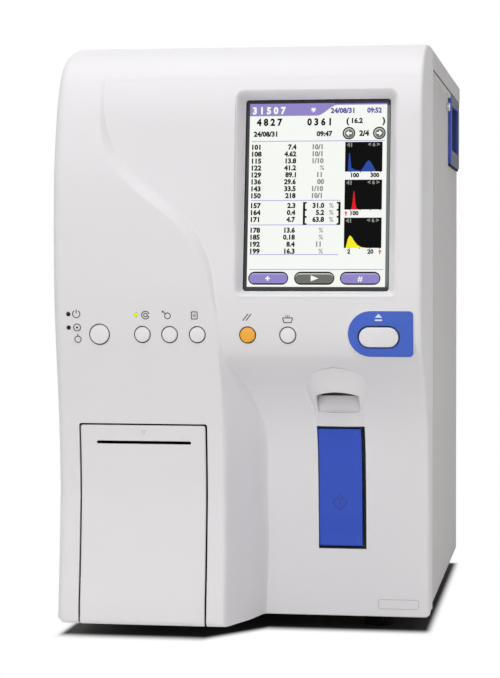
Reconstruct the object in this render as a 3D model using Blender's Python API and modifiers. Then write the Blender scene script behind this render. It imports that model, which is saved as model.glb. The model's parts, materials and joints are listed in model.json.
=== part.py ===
"""Benchtop blood cell counter: shell, front controls, printer, sampler and inner units, in metres.

The origin is on the table under the middle of the body. +X is to the right, +Y to the back, +Z up.
"""

import math

import bmesh
import bpy
import numpy as np
from mathutils import Matrix, Vector

# Driving sizes of the body
BODY_WIDTH = 0.2300
BODY_DEPTH = 0.4500
BODY_TOP = 0.3820
BODY_BOTTOM = 0.0138
FRONT_REACH = 0.1045
REAR_STANDOFF = 0.0300
GAP = 0.0003
MERGE = 0.00001
OVERRUN = 0.0100
WELD = 0.0004
SMOOTH_ANGLE = math.radians(35.0)
ROUND_STEPS = 10
CORNER_STEPS = 3

# Bezel moulding
BEZEL_WALL = 0.0025
LEFT_FILLET = 0.0070
RIGHT_FILLET = 0.0040
SMALLEST_ROW = 0.0030

# Sheet metal
SHEET = 0.0015
COVER_STEP = 0.0023
FLANGE_DROP = 0.0143
COVER_SEAM = 0.0005

# Feet
FOOT_RADIUS = 0.0105
FOOT_FROM_SIDE = 0.0370
FOOT_FROM_SEAM = 0.0280
FOOT_FROM_REAR = 0.0300
FOOT_TAPER = 0.0010

# Printer door and printer
DOOR_X_SHARE = -0.521
DOOR_WIDTH = 0.0802
DOOR_HEIGHT = 0.1272
DOOR_GAP = 0.0007
DOOR_WALL = 0.0025
DOOR_CUT_DEPTH = 0.0210
DOOR_PIN_RADIUS = 0.0015
DOOR_PIN_IN = 0.0085
DOOR_PIN_UP = 0.0075
PIN_CLEARANCE = 0.0003
LUG_WIDTH = 0.0040
LUG_HALF = 0.0034
SLOT_WIDTH = 0.0600
SLOT_HEIGHT = 0.0020
SLOT_DOWN = 0.0112
SLOT_OFFSET = 0.0004
PRINTER_WALL = 0.0030
PAPER_WIDTH = 0.0580
PAPER_RADIUS = 0.0220
PAPER_CORE = 0.0060
PAPER_SIDE_PLAY = 0.0040
PLATEN_RADIUS = 0.0060
PLATEN_SHAFT = 0.0020
PLATEN_FROM_FRONT = 0.0150
PLATEN_FROM_TOP = 0.0130
HEAD_THICKNESS = 0.0060
PRINTER_FRONT_SPACE = 0.0095
PRINTER_DOWN = 0.0060

# Display
SCREEN_WIDTH = 0.0890
SCREEN_HEIGHT = 0.1165
SCREEN_X_SHARE = 0.427
DISPLAY_SPACE_SHARE = 0.238
SCREEN_REACH_TOP = 0.0790
SCREEN_REACH_BOTTOM = 0.0940
GLASS_THICKNESS = 0.0020
LCD_THICKNESS = 0.0100
SURROUND_SIDE = 0.0032
SURROUND_TOP = 0.0062
SURROUND_BOTTOM = 0.0032
SURROUND_REACH_TOP = 0.0905
SURROUND_REACH_BOTTOM = 0.0990
SURROUND_BACK = 0.0060

# Keys and lamps: the row of keys has one height
KEY_Z_SHARE = 0.5
KEY_RADIUS = 0.0053
POWER_KEY_RADIUS = 0.0066
POWER_KEY_X_SHARE = -0.742
MENU_KEY_X_SHARE = -0.506
MODE_KEY_X_SHARE = -0.3565
RECORD_KEY_X_SHARE = -0.205
CLEAR_KEY_X_SHARE = 0.068
DRAIN_KEY_X_SHARE = 0.285
KEY_PROUD = 0.0010
KEY_LENGTH = 0.0060
KEY_TRAVEL = 0.0015
LAMP_RADIUS = 0.0011
LAMP_PROUD = 0.0003
LAMP_FROM_SIDE = 0.0101
LAMP_UPPER_UP = 0.0124
LAMP_LOWER_UP = 0.0040
BUSY_LAMP_X_SHARE = -0.538
BUSY_LAMP_UP = 0.0122
BOARD_THICKNESS = 0.0016
KEY_BOARD_FROM_SIDE = 0.0070
KEY_BOARD_FROM_PLATE = 0.0040
KEY_BOARD_DOWN = 0.0044
KEY_BOARD_FROM_DISPLAY = 0.0098

# Eject plate with its oval key
PLATE_FROM_SIDE = 0.0051
PLATE_WIDTH = 0.0399
PLATE_UP = 0.0010
PLATE_HEIGHT = 0.0282
PLATE_CORNER = 0.0025
PLATE_THICKNESS = 0.0030
PLATE_TILT = math.radians(7.0)
PLATE_PROUD = 0.0008
EJECT_WIDTH = 0.0247
EJECT_HEIGHT = 0.0127
EJECT_FROM_RIGHT = 0.0211
EJECT_DOWN = 0.0009
EJECT_PROUD = 0.0012

# Start paddle, hood and needle
PADDLE_OFFSET = 0.0021
PADDLE_WIDTH = 0.0280
PADDLE_HEIGHT = 0.0757
PADDLE_TO_HOOD = 0.0038
PADDLE_SINK = 0.0012
PADDLE_WALL = 0.0040
PADDLE_GAP_LEFT = 0.0004
PADDLE_GAP_RIGHT = 0.0025
PADDLE_GAP_ENDS = 0.0017
PADDLE_PIN_IN = 0.0040
PADDLE_PIN_DOWN = 0.0060
HOOD_X_SHARE = 0.513
HOOD_DOWN = 0.0207
HOOD_HEIGHT = 0.0387
HOOD_HALF = 0.0192
HOOD_RISE = 0.0095
HOOD_RIM = 0.0012
WINDOW_HALF = 0.0135
WINDOW_UP = 0.0087
WINDOW_HEIGHT = 0.0103
WINDOW_ARCH = 0.0027
SLIT_UP = 0.0140
SLIT_HEIGHT = 0.0135
NEEDLE_RADIUS = 0.0009
NEEDLE_REACH = 0.0525
NEEDLE_OVER_SLIT = 0.0005
RAIL_RADIUS = 0.0030
RAIL_REACH = 0.0080
RAIL_OVER_RINSE = 0.0070
RAIL_FROM_TOP = 0.0370
CARRIAGE_UP = 0.0540
CARRIAGE_HEIGHT = 0.0140
CARRIAGE_HALF = 0.0080
CARRIAGE_FRONT = 0.0560
CARRIAGE_BACK = 0.0030
RINSE_OVER_SLIT = 0.0060
RINSE_HEIGHT = 0.0070
NEEDLE_CLEARANCE = 0.0004
BRACKET_THICKNESS = 0.0030

# Side door, its grip, screw and hinge
DOOR_HINGE_IN = 0.0050
DOOR_HINGE_FROM_SEAM = 0.0085
DOOR_FRONT_FROM_SEAM = 0.0020
DOOR_LUG_HALF = 0.0040
DOOR_LUG_THICKNESS = 0.0030
DOOR_LUG_LOWER_Z = 0.0400
DOOR_LUG_FROM_TOP = 0.0420
HINGE_PIN_RADIUS = 0.0015
GRIP_FROM_REAR = 0.0075
GRIP_LENGTH = 0.1080
GRIP_HEIGHT = 0.0537
GRIP_FROM_FLANGE = 0.0010
GRIP_FRONT_RIM = 0.0120
GRIP_REAR_RIM = 0.0140
GRIP_BOTTOM_RIM = 0.0110
GRIP_TOP_RIM = 0.0070
GRIP_DEPTH = 0.0280
GRIP_WALL = 0.0020
SCREW_FROM_GRIP = 0.0160
SCREW_DOWN = 0.0097
SCREW_HEAD_RADIUS = 0.0031
SCREW_HEAD_HEIGHT = 0.0020
SCREW_SHANK_RADIUS = 0.0015
SCREW_LENGTH = 0.0080

# Frame sheets behind the bezel and between the two bays
FRAME_BACKSET = 0.0008
FRAME_SIDE_MARGIN = 0.0145
FRAME_TOP_MARGIN = 0.0080
PARTITION_X = -0.0060
FLOOR_CLEARANCE = 0.0003

# Fittings of the rear panel
FAN_FROM_TOP = 0.1120
FAN_SIDE = 0.0800
FAN_DEPTH = 0.0250
FAN_RADIUS = 0.0370
FAN_HUB_RADIUS = 0.0150
FAN_BLADE_TIP_GAP = 0.0020
FAN_BLADE_CHORD = 0.0180
FAN_BLADE_ROOT = 0.0120
FAN_BLADE_THICKNESS = 0.0012
FAN_BLADE_PITCH = math.radians(35.0)
FAN_BLADES = 7
FAN_STRUT_WIDTH = 0.0040
FAN_STRUT_DEPTH = 0.0030
FAN_SHAFT_RADIUS = 0.0020
INLET_FROM_SIDE = 0.0332
INLET_Z = 0.0650
INLET_WIDTH = 0.0310
INLET_HEIGHT = 0.0270
INLET_DEPTH = 0.0250
INLET_PROUD = 0.0020
INLET_LIP = 0.0040
SOCKET_DEPTH = 0.0180
SWITCH_FROM_INLET = 0.0380
SWITCH_WIDTH = 0.0130
SWITCH_HEIGHT = 0.0200
SWITCH_DEPTH = 0.0090
SWITCH_PROUD = 0.0025
SWITCH_PIN_RADIUS = 0.0020
SWITCH_BOX_WALL = 0.0020
EARTH_Z = 0.0360
EARTH_RADIUS = 0.0025
EARTH_NUT_RADIUS = 0.0050
EARTH_NUT_LENGTH = 0.0040
EARTH_LENGTH = 0.0150
PORT_FROM_SIDE = 0.0612
PORT_Z = 0.0700
PORT_PITCH = 0.0280
PORT_PLACES = (("diluent_port", -1), ("cleaner_port", 0), ("waste_port", 1))
PORT_COLLAR_RADIUS = 0.0080
PORT_COLLAR_LENGTH = 0.0060
PORT_STEM_RADIUS = 0.0040
PORT_BARB_RADIUS = 0.0052
PORT_INSIDE = 0.0120
PORT_BORE = 0.0020
BARBS = 3
BARB_START_SHARE = 0.30
BARB_PITCH_SHARE = 0.22
BARB_LENGTH_SHARE = 0.20
DATA_X = -0.0350
DATA_Z = 0.1250
DATA_WIDTH = 0.0390
DATA_HEIGHT = 0.0120
DATA_PROUD = 0.0060
DATA_INSIDE = 0.0100
DATA_WALL = 0.0015

# Units in the two bays
SUPPLY_WIDTH = 0.0800
SUPPLY_DEPTH = 0.1300
SUPPLY_HEIGHT = 0.0500
SUPPLY_FROM_REAR = 0.0420
BOARD_PLACE_SHARE = 0.096
BOARD_LENGTH = 0.2100
BOARD_HEIGHT = 0.1500
BOARD_BOTTOM = 0.1000
STANDOFF_HEIGHT = 0.0080
STANDOFF_RADIUS = 0.0030
BATH_WIDTH = 0.0380
BATH_DEPTH = 0.0600
BATH_HEIGHT = 0.0550
BATH_PLACE_SHARE = 0.160
BATH_BOTTOM = 0.2000
BATH_RADIUS = 0.0100
BATH_WELL = 0.0400
SYRINGE_WIDTH = 0.0300
SYRINGE_DEPTH = 0.0360
SYRINGE_HEIGHT = 0.0800
SYRINGE_PLACE_SHARE = 0.446
SYRINGE_BOTTOM = 0.1700
SYRINGE_BORE = 0.0080
SYRINGE_BORE_DEPTH = 0.0700
PLUNGER_CLEARANCE = 0.0003
PLUNGER_REACH = 0.0620
PLUNGER_ROD_RADIUS = 0.0040
PLUNGER_ROD_LENGTH = 0.0300
PLUNGER_FOOT_RADIUS = 0.0090
PLUNGER_FOOT_HEIGHT = 0.0040
PUMP_WIDTH = 0.0400
PUMP_SIDE = 0.0500
PUMP_PLACE_SHARE = 0.700
PUMP_BOTTOM = 0.1500
ROTOR_RADIUS = 0.0180
ROTOR_LENGTH = 0.0120
ROTOR_SHAFT_RADIUS = 0.0030
ROTOR_SHAFT_DEPTH = 0.0150
ROLLER_RADIUS = 0.0040
ROLLER_INSET = 0.0060
ROLLERS = 3
VALVE_WIDTH = 0.0240
VALVE_LENGTH = 0.1400
VALVE_HEIGHT = 0.0300
VALVE_FROM_SEAM = 0.0500
VALVE_BOTTOM = 0.0700
VALVE_COIL_RADIUS = 0.0080
VALVE_COIL_LENGTH = 0.0220
VALVES = 5

# Outline of the front seen from the side: shares of the body height and of the front reach
FRONT_PROFILE_SHARES = (
    (0.0, 0.861), (0.0114, 0.900), (0.044, 0.895), (0.098, 0.871), (0.158, 0.854), (0.229, 0.835),
    (0.299, 0.851), (0.370, 0.878), (0.438, 0.9215), (0.506, 0.9646), (0.574, 0.991), (0.642, 0.997),
    (0.690, 1.0), (0.745, 0.994), (0.777, 0.985), (0.813, 0.9656), (0.845, 0.942), (0.881, 0.912),
    (0.916, 0.863), (0.946, 0.805), (0.967, 0.732), (0.984, 0.612), (0.995, 0.450), (1.0, 0.210),
    (1.0, 0.0),
)
# The same for the hollow under the display: it joins the front where both shares are equal
RECESS_PROFILE_SHARES = (
    (0.0, 0.258), (0.144, 0.268), (0.212, 0.287), (0.283, 0.316), (0.318, 0.354), (0.354, 0.4115),
    (0.389, 0.517), (0.412, 0.605), (0.432, 0.715), (0.447, 0.835), (0.458, 0.915), (0.470, 0.938),
    (0.506, 0.9646), (1.0, 1.2),
)
# The wave between the two halves: height share, place share of half the width, band width share
WAVE_SHARES = (
    (0.0, -0.077, 0.141), (0.096, -0.078, 0.154), (0.202, -0.088, 0.158), (0.308, -0.106, 0.160),
    (0.378, -0.113, 0.129), (0.424, -0.116, 0.100), (0.446, -0.117, 0.070), (0.478, -0.117, 0.024),
    (0.541, -0.120, 0.018), (0.575, -0.1365, 0.0217), (0.609, -0.158, 0.032), (0.639, -0.202, 0.0457),
    (0.669, -0.267, 0.063), (0.696, -0.355, 0.080), (0.721, -0.458, 0.104), (0.743, -0.552, 0.0887),
    (0.765, -0.6287, 0.083), (0.7855, -0.678, 0.0713), (0.810, -0.722, 0.061), (0.845, -0.744, 0.038),
    (0.878, -0.752, 0.0243), (0.921, -0.755, 0.0217), (1.0, -0.7565, 0.020),
)
# How far the display side stands back of the left side: height share, share of the front reach
STEP_SHARES = (
    (0.0, 0.0), (0.506, 0.0), (0.541, 0.006), (0.575, 0.015), (0.609, 0.030), (0.642, 0.045),
    (0.675, 0.055), (0.745, 0.0575), (0.777, 0.055), (0.810, 0.045), (0.845, 0.030), (0.878, 0.012),
    (0.921, 0.003), (1.0, 0.0),
)
BAND_STEP_SHARES = ((0.0, 0.0), (0.12, 0.10), (0.5, 0.5), (0.85, 0.91), (1.0, 1.0))
# The hood over the needle: height share with its width share, and with its rise share
HOOD_WIDTH_SHARES = (
    (0.0, 0.80), (0.12, 0.82), (0.30, 0.90), (0.50, 0.99), (0.65, 1.0), (0.80, 0.90), (0.92, 0.68),
    (1.0, 0.40),
)
HOOD_RISE_SHARES = ((0.0, 0.22), (0.20, 0.45), (0.45, 1.0), (0.65, 0.85), (0.85, 0.35), (1.0, 0.05))
HOOD_SIDE_SHARES = (-1.0, -0.9, -0.7, -0.35, 0.0, 0.35, 0.7, 0.9, 1.0)
ARCH_SHARES = (1.0, 0.5, 0.0, -0.5, -1.0)

# Colours: red, green, blue
WHITE_PAINT = (0.80, 0.80, 0.81)
COVER_PAINT = (0.70, 0.70, 0.71)
GREY = (0.45, 0.45, 0.46)
BLUE = (0.05, 0.10, 0.45)
ORANGE = (0.85, 0.36, 0.03)
BLACK = (0.02, 0.02, 0.02)
STEEL = (0.62, 0.62, 0.60)
GLASS = (0.75, 0.78, 0.76)
BOARD_GREEN = (0.02, 0.20, 0.08)
CLEAR_PLASTIC = (0.70, 0.75, 0.75)
PAPER = (0.90, 0.90, 0.88)
YELLOW = (0.85, 0.80, 0.10)
GREEN = (0.02, 0.15, 0.05)

# Places that follow from the driving sizes
HALF_WIDTH = BODY_WIDTH / 2
BODY_HEIGHT = BODY_TOP - BODY_BOTTOM
SEAM_Y = -BODY_DEPTH / 2 + FRONT_REACH
REAR_Y = BODY_DEPTH / 2 - REAR_STANDOFF
SIDE_X = HALF_WIDTH - COVER_STEP
INSIDE_X = SIDE_X - SHEET
FLOOR_Z = BODY_BOTTOM + SHEET
BEZEL_FLOOR_Z = BODY_BOTTOM + BEZEL_WALL
FLANGE_Z = BODY_TOP - FLANGE_DROP
FRAME_Y = SEAM_Y + FRAME_BACKSET
FRAME_BACK_Y = FRAME_Y + SHEET
REAR_INSIDE_Y = REAR_Y - SHEET
PARTITION_RIGHT = PARTITION_X + SHEET
BAY_X = PARTITION_RIGHT + GAP
LEFT_BAY_X = (PARTITION_X - INSIDE_X) / 2
FOOT_X = HALF_WIDTH - FOOT_FROM_SIDE
BAY_DEPTH = REAR_INSIDE_Y - SEAM_Y

# Places on the front, from the keys' height
KEY_Z = BODY_BOTTOM + BODY_HEIGHT * KEY_Z_SHARE
LAMP_X = LAMP_FROM_SIDE - HALF_WIDTH
LAMP_UPPER_Z = KEY_Z + LAMP_UPPER_UP
LAMP_LOWER_Z = KEY_Z + LAMP_LOWER_UP
BUSY_LAMP_X = HALF_WIDTH * BUSY_LAMP_X_SHARE
BUSY_LAMP_Z = KEY_Z + BUSY_LAMP_UP
PLATE_RIGHT = HALF_WIDTH - PLATE_FROM_SIDE
PLATE_LEFT = PLATE_RIGHT - PLATE_WIDTH
PLATE_Z = KEY_Z + PLATE_UP
PLATE_TOP = PLATE_Z + PLATE_HEIGHT / 2
EJECT_X = PLATE_RIGHT - EJECT_FROM_RIGHT
EJECT_Z = KEY_Z - EJECT_DOWN
DISPLAY_HEIGHT = SURROUND_BOTTOM + SCREEN_HEIGHT + SURROUND_TOP
DISPLAY_BOTTOM = PLATE_TOP + DISPLAY_SPACE_SHARE * (BODY_TOP - PLATE_TOP - DISPLAY_HEIGHT)
SCREEN_X = HALF_WIDTH * SCREEN_X_SHARE
SCREEN_Z = DISPLAY_BOTTOM + SURROUND_BOTTOM + SCREEN_HEIGHT / 2
KEY_BOARD_LEFT = KEY_BOARD_FROM_SIDE - HALF_WIDTH
KEY_BOARD_RIGHT = PLATE_LEFT - KEY_BOARD_FROM_PLATE
KEY_BOARD_BOTTOM = KEY_Z - KEY_BOARD_DOWN
KEY_BOARD_TOP = DISPLAY_BOTTOM - KEY_BOARD_FROM_DISPLAY
DOOR_X = HALF_WIDTH * DOOR_X_SHARE
DOOR_LEFT = DOOR_X - DOOR_WIDTH / 2
DOOR_RIGHT = DOOR_X + DOOR_WIDTH / 2
DOOR_TOP = BODY_BOTTOM + DOOR_HEIGHT
SLOT_X = DOOR_X + SLOT_OFFSET
SLOT_Z = DOOR_TOP - SLOT_DOWN
PRINTER_TOP = DOOR_TOP - PRINTER_DOWN

# Places of the sampler, from the hood down to the paddle and up the rail
HOOD_X = HALF_WIDTH * HOOD_X_SHARE
HOOD_TOP = KEY_Z - HOOD_DOWN
HOOD_BOTTOM = HOOD_TOP - HOOD_HEIGHT
WINDOW_BOTTOM = HOOD_BOTTOM + WINDOW_UP
WINDOW_TOP = WINDOW_BOTTOM + WINDOW_HEIGHT
SLIT_BOTTOM = HOOD_BOTTOM + SLIT_UP
SLIT_TOP = SLIT_BOTTOM + SLIT_HEIGHT
PADDLE_LEFT = HOOD_X - PADDLE_OFFSET - PADDLE_WIDTH / 2
PADDLE_RIGHT = PADDLE_LEFT + PADDLE_WIDTH
PADDLE_TOP = HOOD_BOTTOM - PADDLE_TO_HOOD
PADDLE_BOTTOM = PADDLE_TOP - PADDLE_HEIGHT
NEEDLE_TIP = SLIT_TOP + NEEDLE_OVER_SLIT
RINSE_BOTTOM = SLIT_TOP + RINSE_OVER_SLIT
RAIL_BOTTOM = RINSE_BOTTOM + RINSE_HEIGHT + RAIL_OVER_RINSE
RAIL_TOP = BODY_TOP - RAIL_FROM_TOP
CARRIAGE_BOTTOM = RAIL_BOTTOM + CARRIAGE_UP

# Places on the right side, at the back and in the bays
DOOR_LUG_UPPER_Z = BODY_TOP - DOOR_LUG_FROM_TOP
GRIP_TOP = FLANGE_Z - GRIP_FROM_FLANGE
GRIP_BOTTOM = GRIP_TOP - GRIP_HEIGHT
GRIP_FRONT_Y = REAR_Y - GRIP_FROM_REAR - GRIP_LENGTH
SCREW_Y = GRIP_FRONT_Y - SCREW_FROM_GRIP
SCREW_Z = GRIP_TOP - SCREW_DOWN
FAN_X = LEFT_BAY_X
FAN_Z = BODY_TOP - FAN_FROM_TOP
INLET_X = INLET_FROM_SIDE - INSIDE_X
SWITCH_X = INLET_X + SWITCH_FROM_INLET
PORT_X = INSIDE_X - PORT_FROM_SIDE
BOARD_FRONT_Y = SEAM_Y + BAY_DEPTH * BOARD_PLACE_SHARE
BATH_FRONT_Y = SEAM_Y + BAY_DEPTH * BATH_PLACE_SHARE
SYRINGE_FRONT_Y = SEAM_Y + BAY_DEPTH * SYRINGE_PLACE_SHARE
PUMP_FRONT_Y = SEAM_Y + BAY_DEPTH * PUMP_PLACE_SHARE


def reach_y(reach):
    """The Y of a point that lies this far in front of the seam."""
    return SEAM_Y - reach


def share_of(table, height_share, column=1):
    heights = [row[0] for row in table]
    return float(np.interp(height_share, heights, [row[column] for row in table]))


def front_reach(z):
    """Reach of the left half of the front, below the turn into the top."""
    return FRONT_REACH * share_of(FRONT_PROFILE_SHARES[:-1], (z - BODY_BOTTOM) / BODY_HEIGHT)


def right_reach(z):
    """Reach of the display half of the front and of the hollow under it."""
    share = (z - BODY_BOTTOM) / BODY_HEIGHT
    stepped = front_reach(z) - FRONT_REACH * share_of(STEP_SHARES, share)
    return min(stepped, FRONT_REACH * share_of(RECESS_PROFILE_SHARES, share))


def screen_reach(z):
    """Reach of the screen's glass, which leans back."""
    share = (z - SCREEN_Z) / SCREEN_HEIGHT + 1 / 2
    return SCREEN_REACH_BOTTOM + (SCREEN_REACH_TOP - SCREEN_REACH_BOTTOM) * share


SCREEN_TILT = math.atan2(SCREEN_REACH_BOTTOM - SCREEN_REACH_TOP, SCREEN_HEIGHT)


def clear_scene():
    for old in list(bpy.data.objects):
        bpy.data.objects.remove(old, do_unlink=True)


def new_collection(name):
    collection = bpy.data.collections.new(name)
    bpy.context.scene.collection.children.link(collection)
    return collection


clear_scene()
PARTS = new_collection("blood_cell_counter")
CUTTERS = new_collection("cutters")
CUTTERS.hide_render = True


def paint(obj, colour, roughness=0.5, metallic=0.0):
    material = bpy.data.materials.new(obj.name)
    material.use_nodes = True
    shader = material.node_tree.nodes["Principled BSDF"]
    shader.inputs["Base Color"].default_value = (*colour, 1)
    shader.inputs["Roughness"].default_value = roughness
    shader.inputs["Metallic"].default_value = metallic
    obj.data.materials.append(material)
    return obj


def finish_mesh(name, mesh_builder, origin=(0, 0, 0), collection=None):
    """An object whose origin is at the given point and whose mesh was built in world places."""
    bmesh.ops.recalc_face_normals(mesh_builder, faces=mesh_builder.faces)
    bmesh.ops.translate(mesh_builder, verts=mesh_builder.verts, vec=-Vector(origin))
    mesh = bpy.data.meshes.new(name)
    mesh_builder.to_mesh(mesh)
    mesh_builder.free()
    obj = bpy.data.objects.new(name, mesh)
    obj.location = origin
    (collection or PARTS).objects.link(obj)
    return obj


def add_box(mesh_builder, low, high):
    made = bmesh.ops.create_cube(mesh_builder, size=1)["verts"]
    size = Vector(high) - Vector(low)
    middle = (Vector(high) + Vector(low)) / 2
    bmesh.ops.scale(mesh_builder, verts=made, vec=size)
    bmesh.ops.translate(mesh_builder, verts=made, vec=middle)
    return made


def add_rod(mesh_builder, start, end, radius, sides=24, end_radius=None):
    start, end = Vector(start), Vector(end)
    turn = (end - start).to_track_quat("Z", "Y").to_matrix().to_4x4()
    place = Matrix.Translation((start + end) / 2) @ turn
    made = bmesh.ops.create_cone(
        mesh_builder, cap_ends=True, segments=sides, radius1=radius,
        radius2=radius if end_radius is None else end_radius, depth=(end - start).length, matrix=place,
    )
    return made["verts"]


def box(name, low, high, origin=(0, 0, 0), collection=None):
    mesh_builder = bmesh.new()
    add_box(mesh_builder, low, high)
    return finish_mesh(name, mesh_builder, origin, collection)


def rod(name, start, end, radius, sides=24, origin=(0, 0, 0), collection=None):
    mesh_builder = bmesh.new()
    add_rod(mesh_builder, start, end, radius, sides)
    obj = finish_mesh(name, mesh_builder, origin, collection)
    smooth(obj)
    return obj


def prism(name, outline, front_y, back_y, origin=(0, 0, 0), collection=None):
    """A flat outline of (x, z) points drawn out along Y."""
    mesh_builder = bmesh.new()
    face = mesh_builder.faces.new([mesh_builder.verts.new((x, front_y, z)) for x, z in outline])
    grown = bmesh.ops.extrude_face_region(mesh_builder, geom=[face])["geom"]
    moved = [item for item in grown if isinstance(item, bmesh.types.BMVert)]
    bmesh.ops.translate(mesh_builder, verts=moved, vec=(0, back_y - front_y, 0))
    return finish_mesh(name, mesh_builder, origin, collection)


def turned(name, profile, place, axis, sides=24):
    """A turned piece: (radius, distance) points from the axis foot to its end, swept by a Screw."""
    mesh = bpy.data.meshes.new(name)
    points = [(radius, 0, distance) for radius, distance in reversed(profile)]
    mesh.from_pydata(points, [(i, i + 1) for i in range(len(points) - 1)], [])
    obj = bpy.data.objects.new(name, mesh)
    obj.location = place
    obj.rotation_euler = Vector(axis).to_track_quat("Z", "Y").to_euler()
    PARTS.objects.link(obj)
    screw = obj.modifiers.new("turn", "SCREW")
    screw.steps = screw.render_steps = sides
    screw.use_merge_vertices = True
    screw.merge_threshold = MERGE
    screw.use_smooth_shade = True
    return obj


def helper(obj):
    """Keeps a solid that cuts or joins another one out of the parts."""
    for collection in list(obj.users_collection):
        collection.objects.unlink(obj)
    CUTTERS.objects.link(obj)
    obj.hide_render = True
    obj.display_type = "WIRE"
    return obj


def boolean(obj, other, operation):
    helper(other)
    modifier = obj.modifiers.new(other.name, "BOOLEAN")
    modifier.operation = operation
    modifier.solver = "EXACT"
    modifier.object = other
    return obj


def cut(obj, cutter):
    return boolean(obj, cutter, "DIFFERENCE")


def join(obj, other):
    return boolean(obj, other, "UNION")


def smooth(obj):
    obj.data.shade_smooth()
    obj.data.set_sharp_from_angle(angle=SMOOTH_ANGLE)
    return obj


def thicken(obj, thickness):
    """Walls grow from the outer surface into the piece, and warped faces are split into flat ones."""
    modifier = obj.modifiers.new("wall", "SOLIDIFY")
    modifier.thickness = thickness
    modifier.offset = -1
    modifier.use_even_offset = True
    obj.modifiers.new("flat_faces", "TRIANGULATE")
    return obj


def stadium(x, z, width, height):
    """An outline with two round ends, counter-clockwise."""
    radius = height / 2
    points = []
    for side, start in ((1, -math.pi / 2), (-1, math.pi / 2)):
        for step in range(ROUND_STEPS + 1):
            angle = start + math.pi * step / ROUND_STEPS
            points.append((x + side * (width / 2 - radius) + radius * math.cos(angle),
                           z + radius * math.sin(angle)))
    return points


def plate_outline(margin):
    """The eject plate: a half round on the left, small corners on the right."""
    radius = PLATE_HEIGHT / 2 + margin
    corner = PLATE_CORNER + margin
    left_middle = PLATE_LEFT + PLATE_HEIGHT / 2
    right_middle = PLATE_RIGHT - PLATE_CORNER
    points = []
    for step in range(ROUND_STEPS + 1):
        angle = math.pi / 2 + math.pi * step / ROUND_STEPS
        points.append((left_middle + radius * math.cos(angle), PLATE_Z + radius * math.sin(angle)))
    for side, start in ((-1, -math.pi / 2), (1, 0)):
        for step in range(CORNER_STEPS + 1):
            angle = start + math.pi / 2 * step / CORNER_STEPS
            points.append((right_middle + corner * math.cos(angle),
                           PLATE_Z + side * (PLATE_HEIGHT / 2 - PLATE_CORNER) + corner * math.sin(angle)))
    return points


def tilted(obj, centre, angle):
    """Turns a finished mesh about the X line through a point."""
    turn = Matrix.Translation(centre) @ Matrix.Rotation(angle, 4, "X") @ Matrix.Translation(-Vector(centre))
    shift = Matrix.Translation(obj.location)
    obj.data.transform(shift.inverted() @ turn @ shift)
    return obj


def strip(mesh_builder, first, second):
    """Faces between two lines of as many points."""
    for index in range(len(first) - 1):
        mesh_builder.faces.new((first[index], first[index + 1], second[index + 1], second[index]))


def profile_rows():
    """(z, front reach, right reach) down the whole front and over its top edge, bottom first."""
    heights = set()
    for table in (FRONT_PROFILE_SHARES[:-2], RECESS_PROFILE_SHARES[:-1], WAVE_SHARES[:-1]):
        heights |= {BODY_BOTTOM + BODY_HEIGHT * row[0] for row in table}
    kept = []
    for z in sorted(heights):
        if not kept or z - kept[-1] > SMALLEST_ROW:
            kept.append(z)
    rows = [(z, front_reach(z), right_reach(z)) for z in kept]
    for height_share, reach_share in FRONT_PROFILE_SHARES[-3:]:
        z = BODY_BOTTOM + BODY_HEIGHT * height_share
        if z - rows[-1][0] > SMALLEST_ROW or height_share == 1:
            rows.append((z, FRONT_REACH * reach_share, FRONT_REACH * reach_share))
    return rows


def row_normals(points):
    """Outward unit normals of a side outline given as (reach, z) points, level at its foot."""
    normals = []
    for index in range(len(points)):
        before = points[max(index - 1, 0)]
        after = points[min(index + 1, len(points) - 1)]
        along = (after[0] - before[0], after[1] - before[1])
        length = math.hypot(*along)
        normals.append((along[1] / length, -along[0] / length))
    normals[0] = (1.0, 0.0)
    normals[-1] = (0.0, 1.0)
    return normals


def bezel_grid():
    """Rows of (x, reach, z) points over the whole front, with rounded side edges."""
    rows = profile_rows()
    left_normals = row_normals([(row[1], row[0]) for row in rows])
    right_normals = row_normals([(row[2], row[0]) for row in rows])
    quarter = 1 - math.sqrt(1 / 2)
    grid = []
    for (z, left, right), left_normal, right_normal in zip(rows, left_normals, right_normals):
        share = (z - BODY_BOTTOM) / BODY_HEIGHT
        edge = HALF_WIDTH * share_of(WAVE_SHARES, share, 1)
        band = HALF_WIDTH * share_of(WAVE_SHARES, share, 2)
        line = []
        for inset in (0.0, quarter, 1.0):
            drop = LEFT_FILLET * (1 - inset) if inset != quarter else LEFT_FILLET * quarter
            line.append((-HALF_WIDTH + LEFT_FILLET * inset, left - left_normal[0] * drop,
                         z - left_normal[1] * drop))
        for place, depth in BAND_STEP_SHARES:
            line.append((edge + band * place, left + (right - left) * depth, z))
        for inset in (1.0, quarter, 0.0):
            drop = RIGHT_FILLET * (1 - inset) if inset != quarter else RIGHT_FILLET * quarter
            line.append((HALF_WIDTH - RIGHT_FILLET * inset, right - right_normal[0] * drop,
                         z - right_normal[1] * drop))
        grid.append(line)
    return grid


def front_bezel_shell():
    """The front moulding: a warped front, two flat sides and a floor, open at the seam."""
    grid = bezel_grid()
    mesh_builder = bmesh.new()
    points = [[mesh_builder.verts.new((x, reach_y(b), z)) for x, b, z in line] for line in grid]
    for lower, upper in zip(points, points[1:]):
        strip(mesh_builder, lower, upper)
    left_foot = mesh_builder.verts.new((-HALF_WIDTH, SEAM_Y, BODY_BOTTOM))
    right_foot = mesh_builder.verts.new((HALF_WIDTH, SEAM_Y, BODY_BOTTOM))
    mesh_builder.faces.new([left_foot] + [line[0] for line in points])
    mesh_builder.faces.new([line[-1] for line in reversed(points)] + [right_foot])
    mesh_builder.faces.new([right_foot] + list(reversed(points[0])) + [left_foot])
    return thicken(finish_mesh("front_bezel", mesh_builder), BEZEL_WALL)


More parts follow.
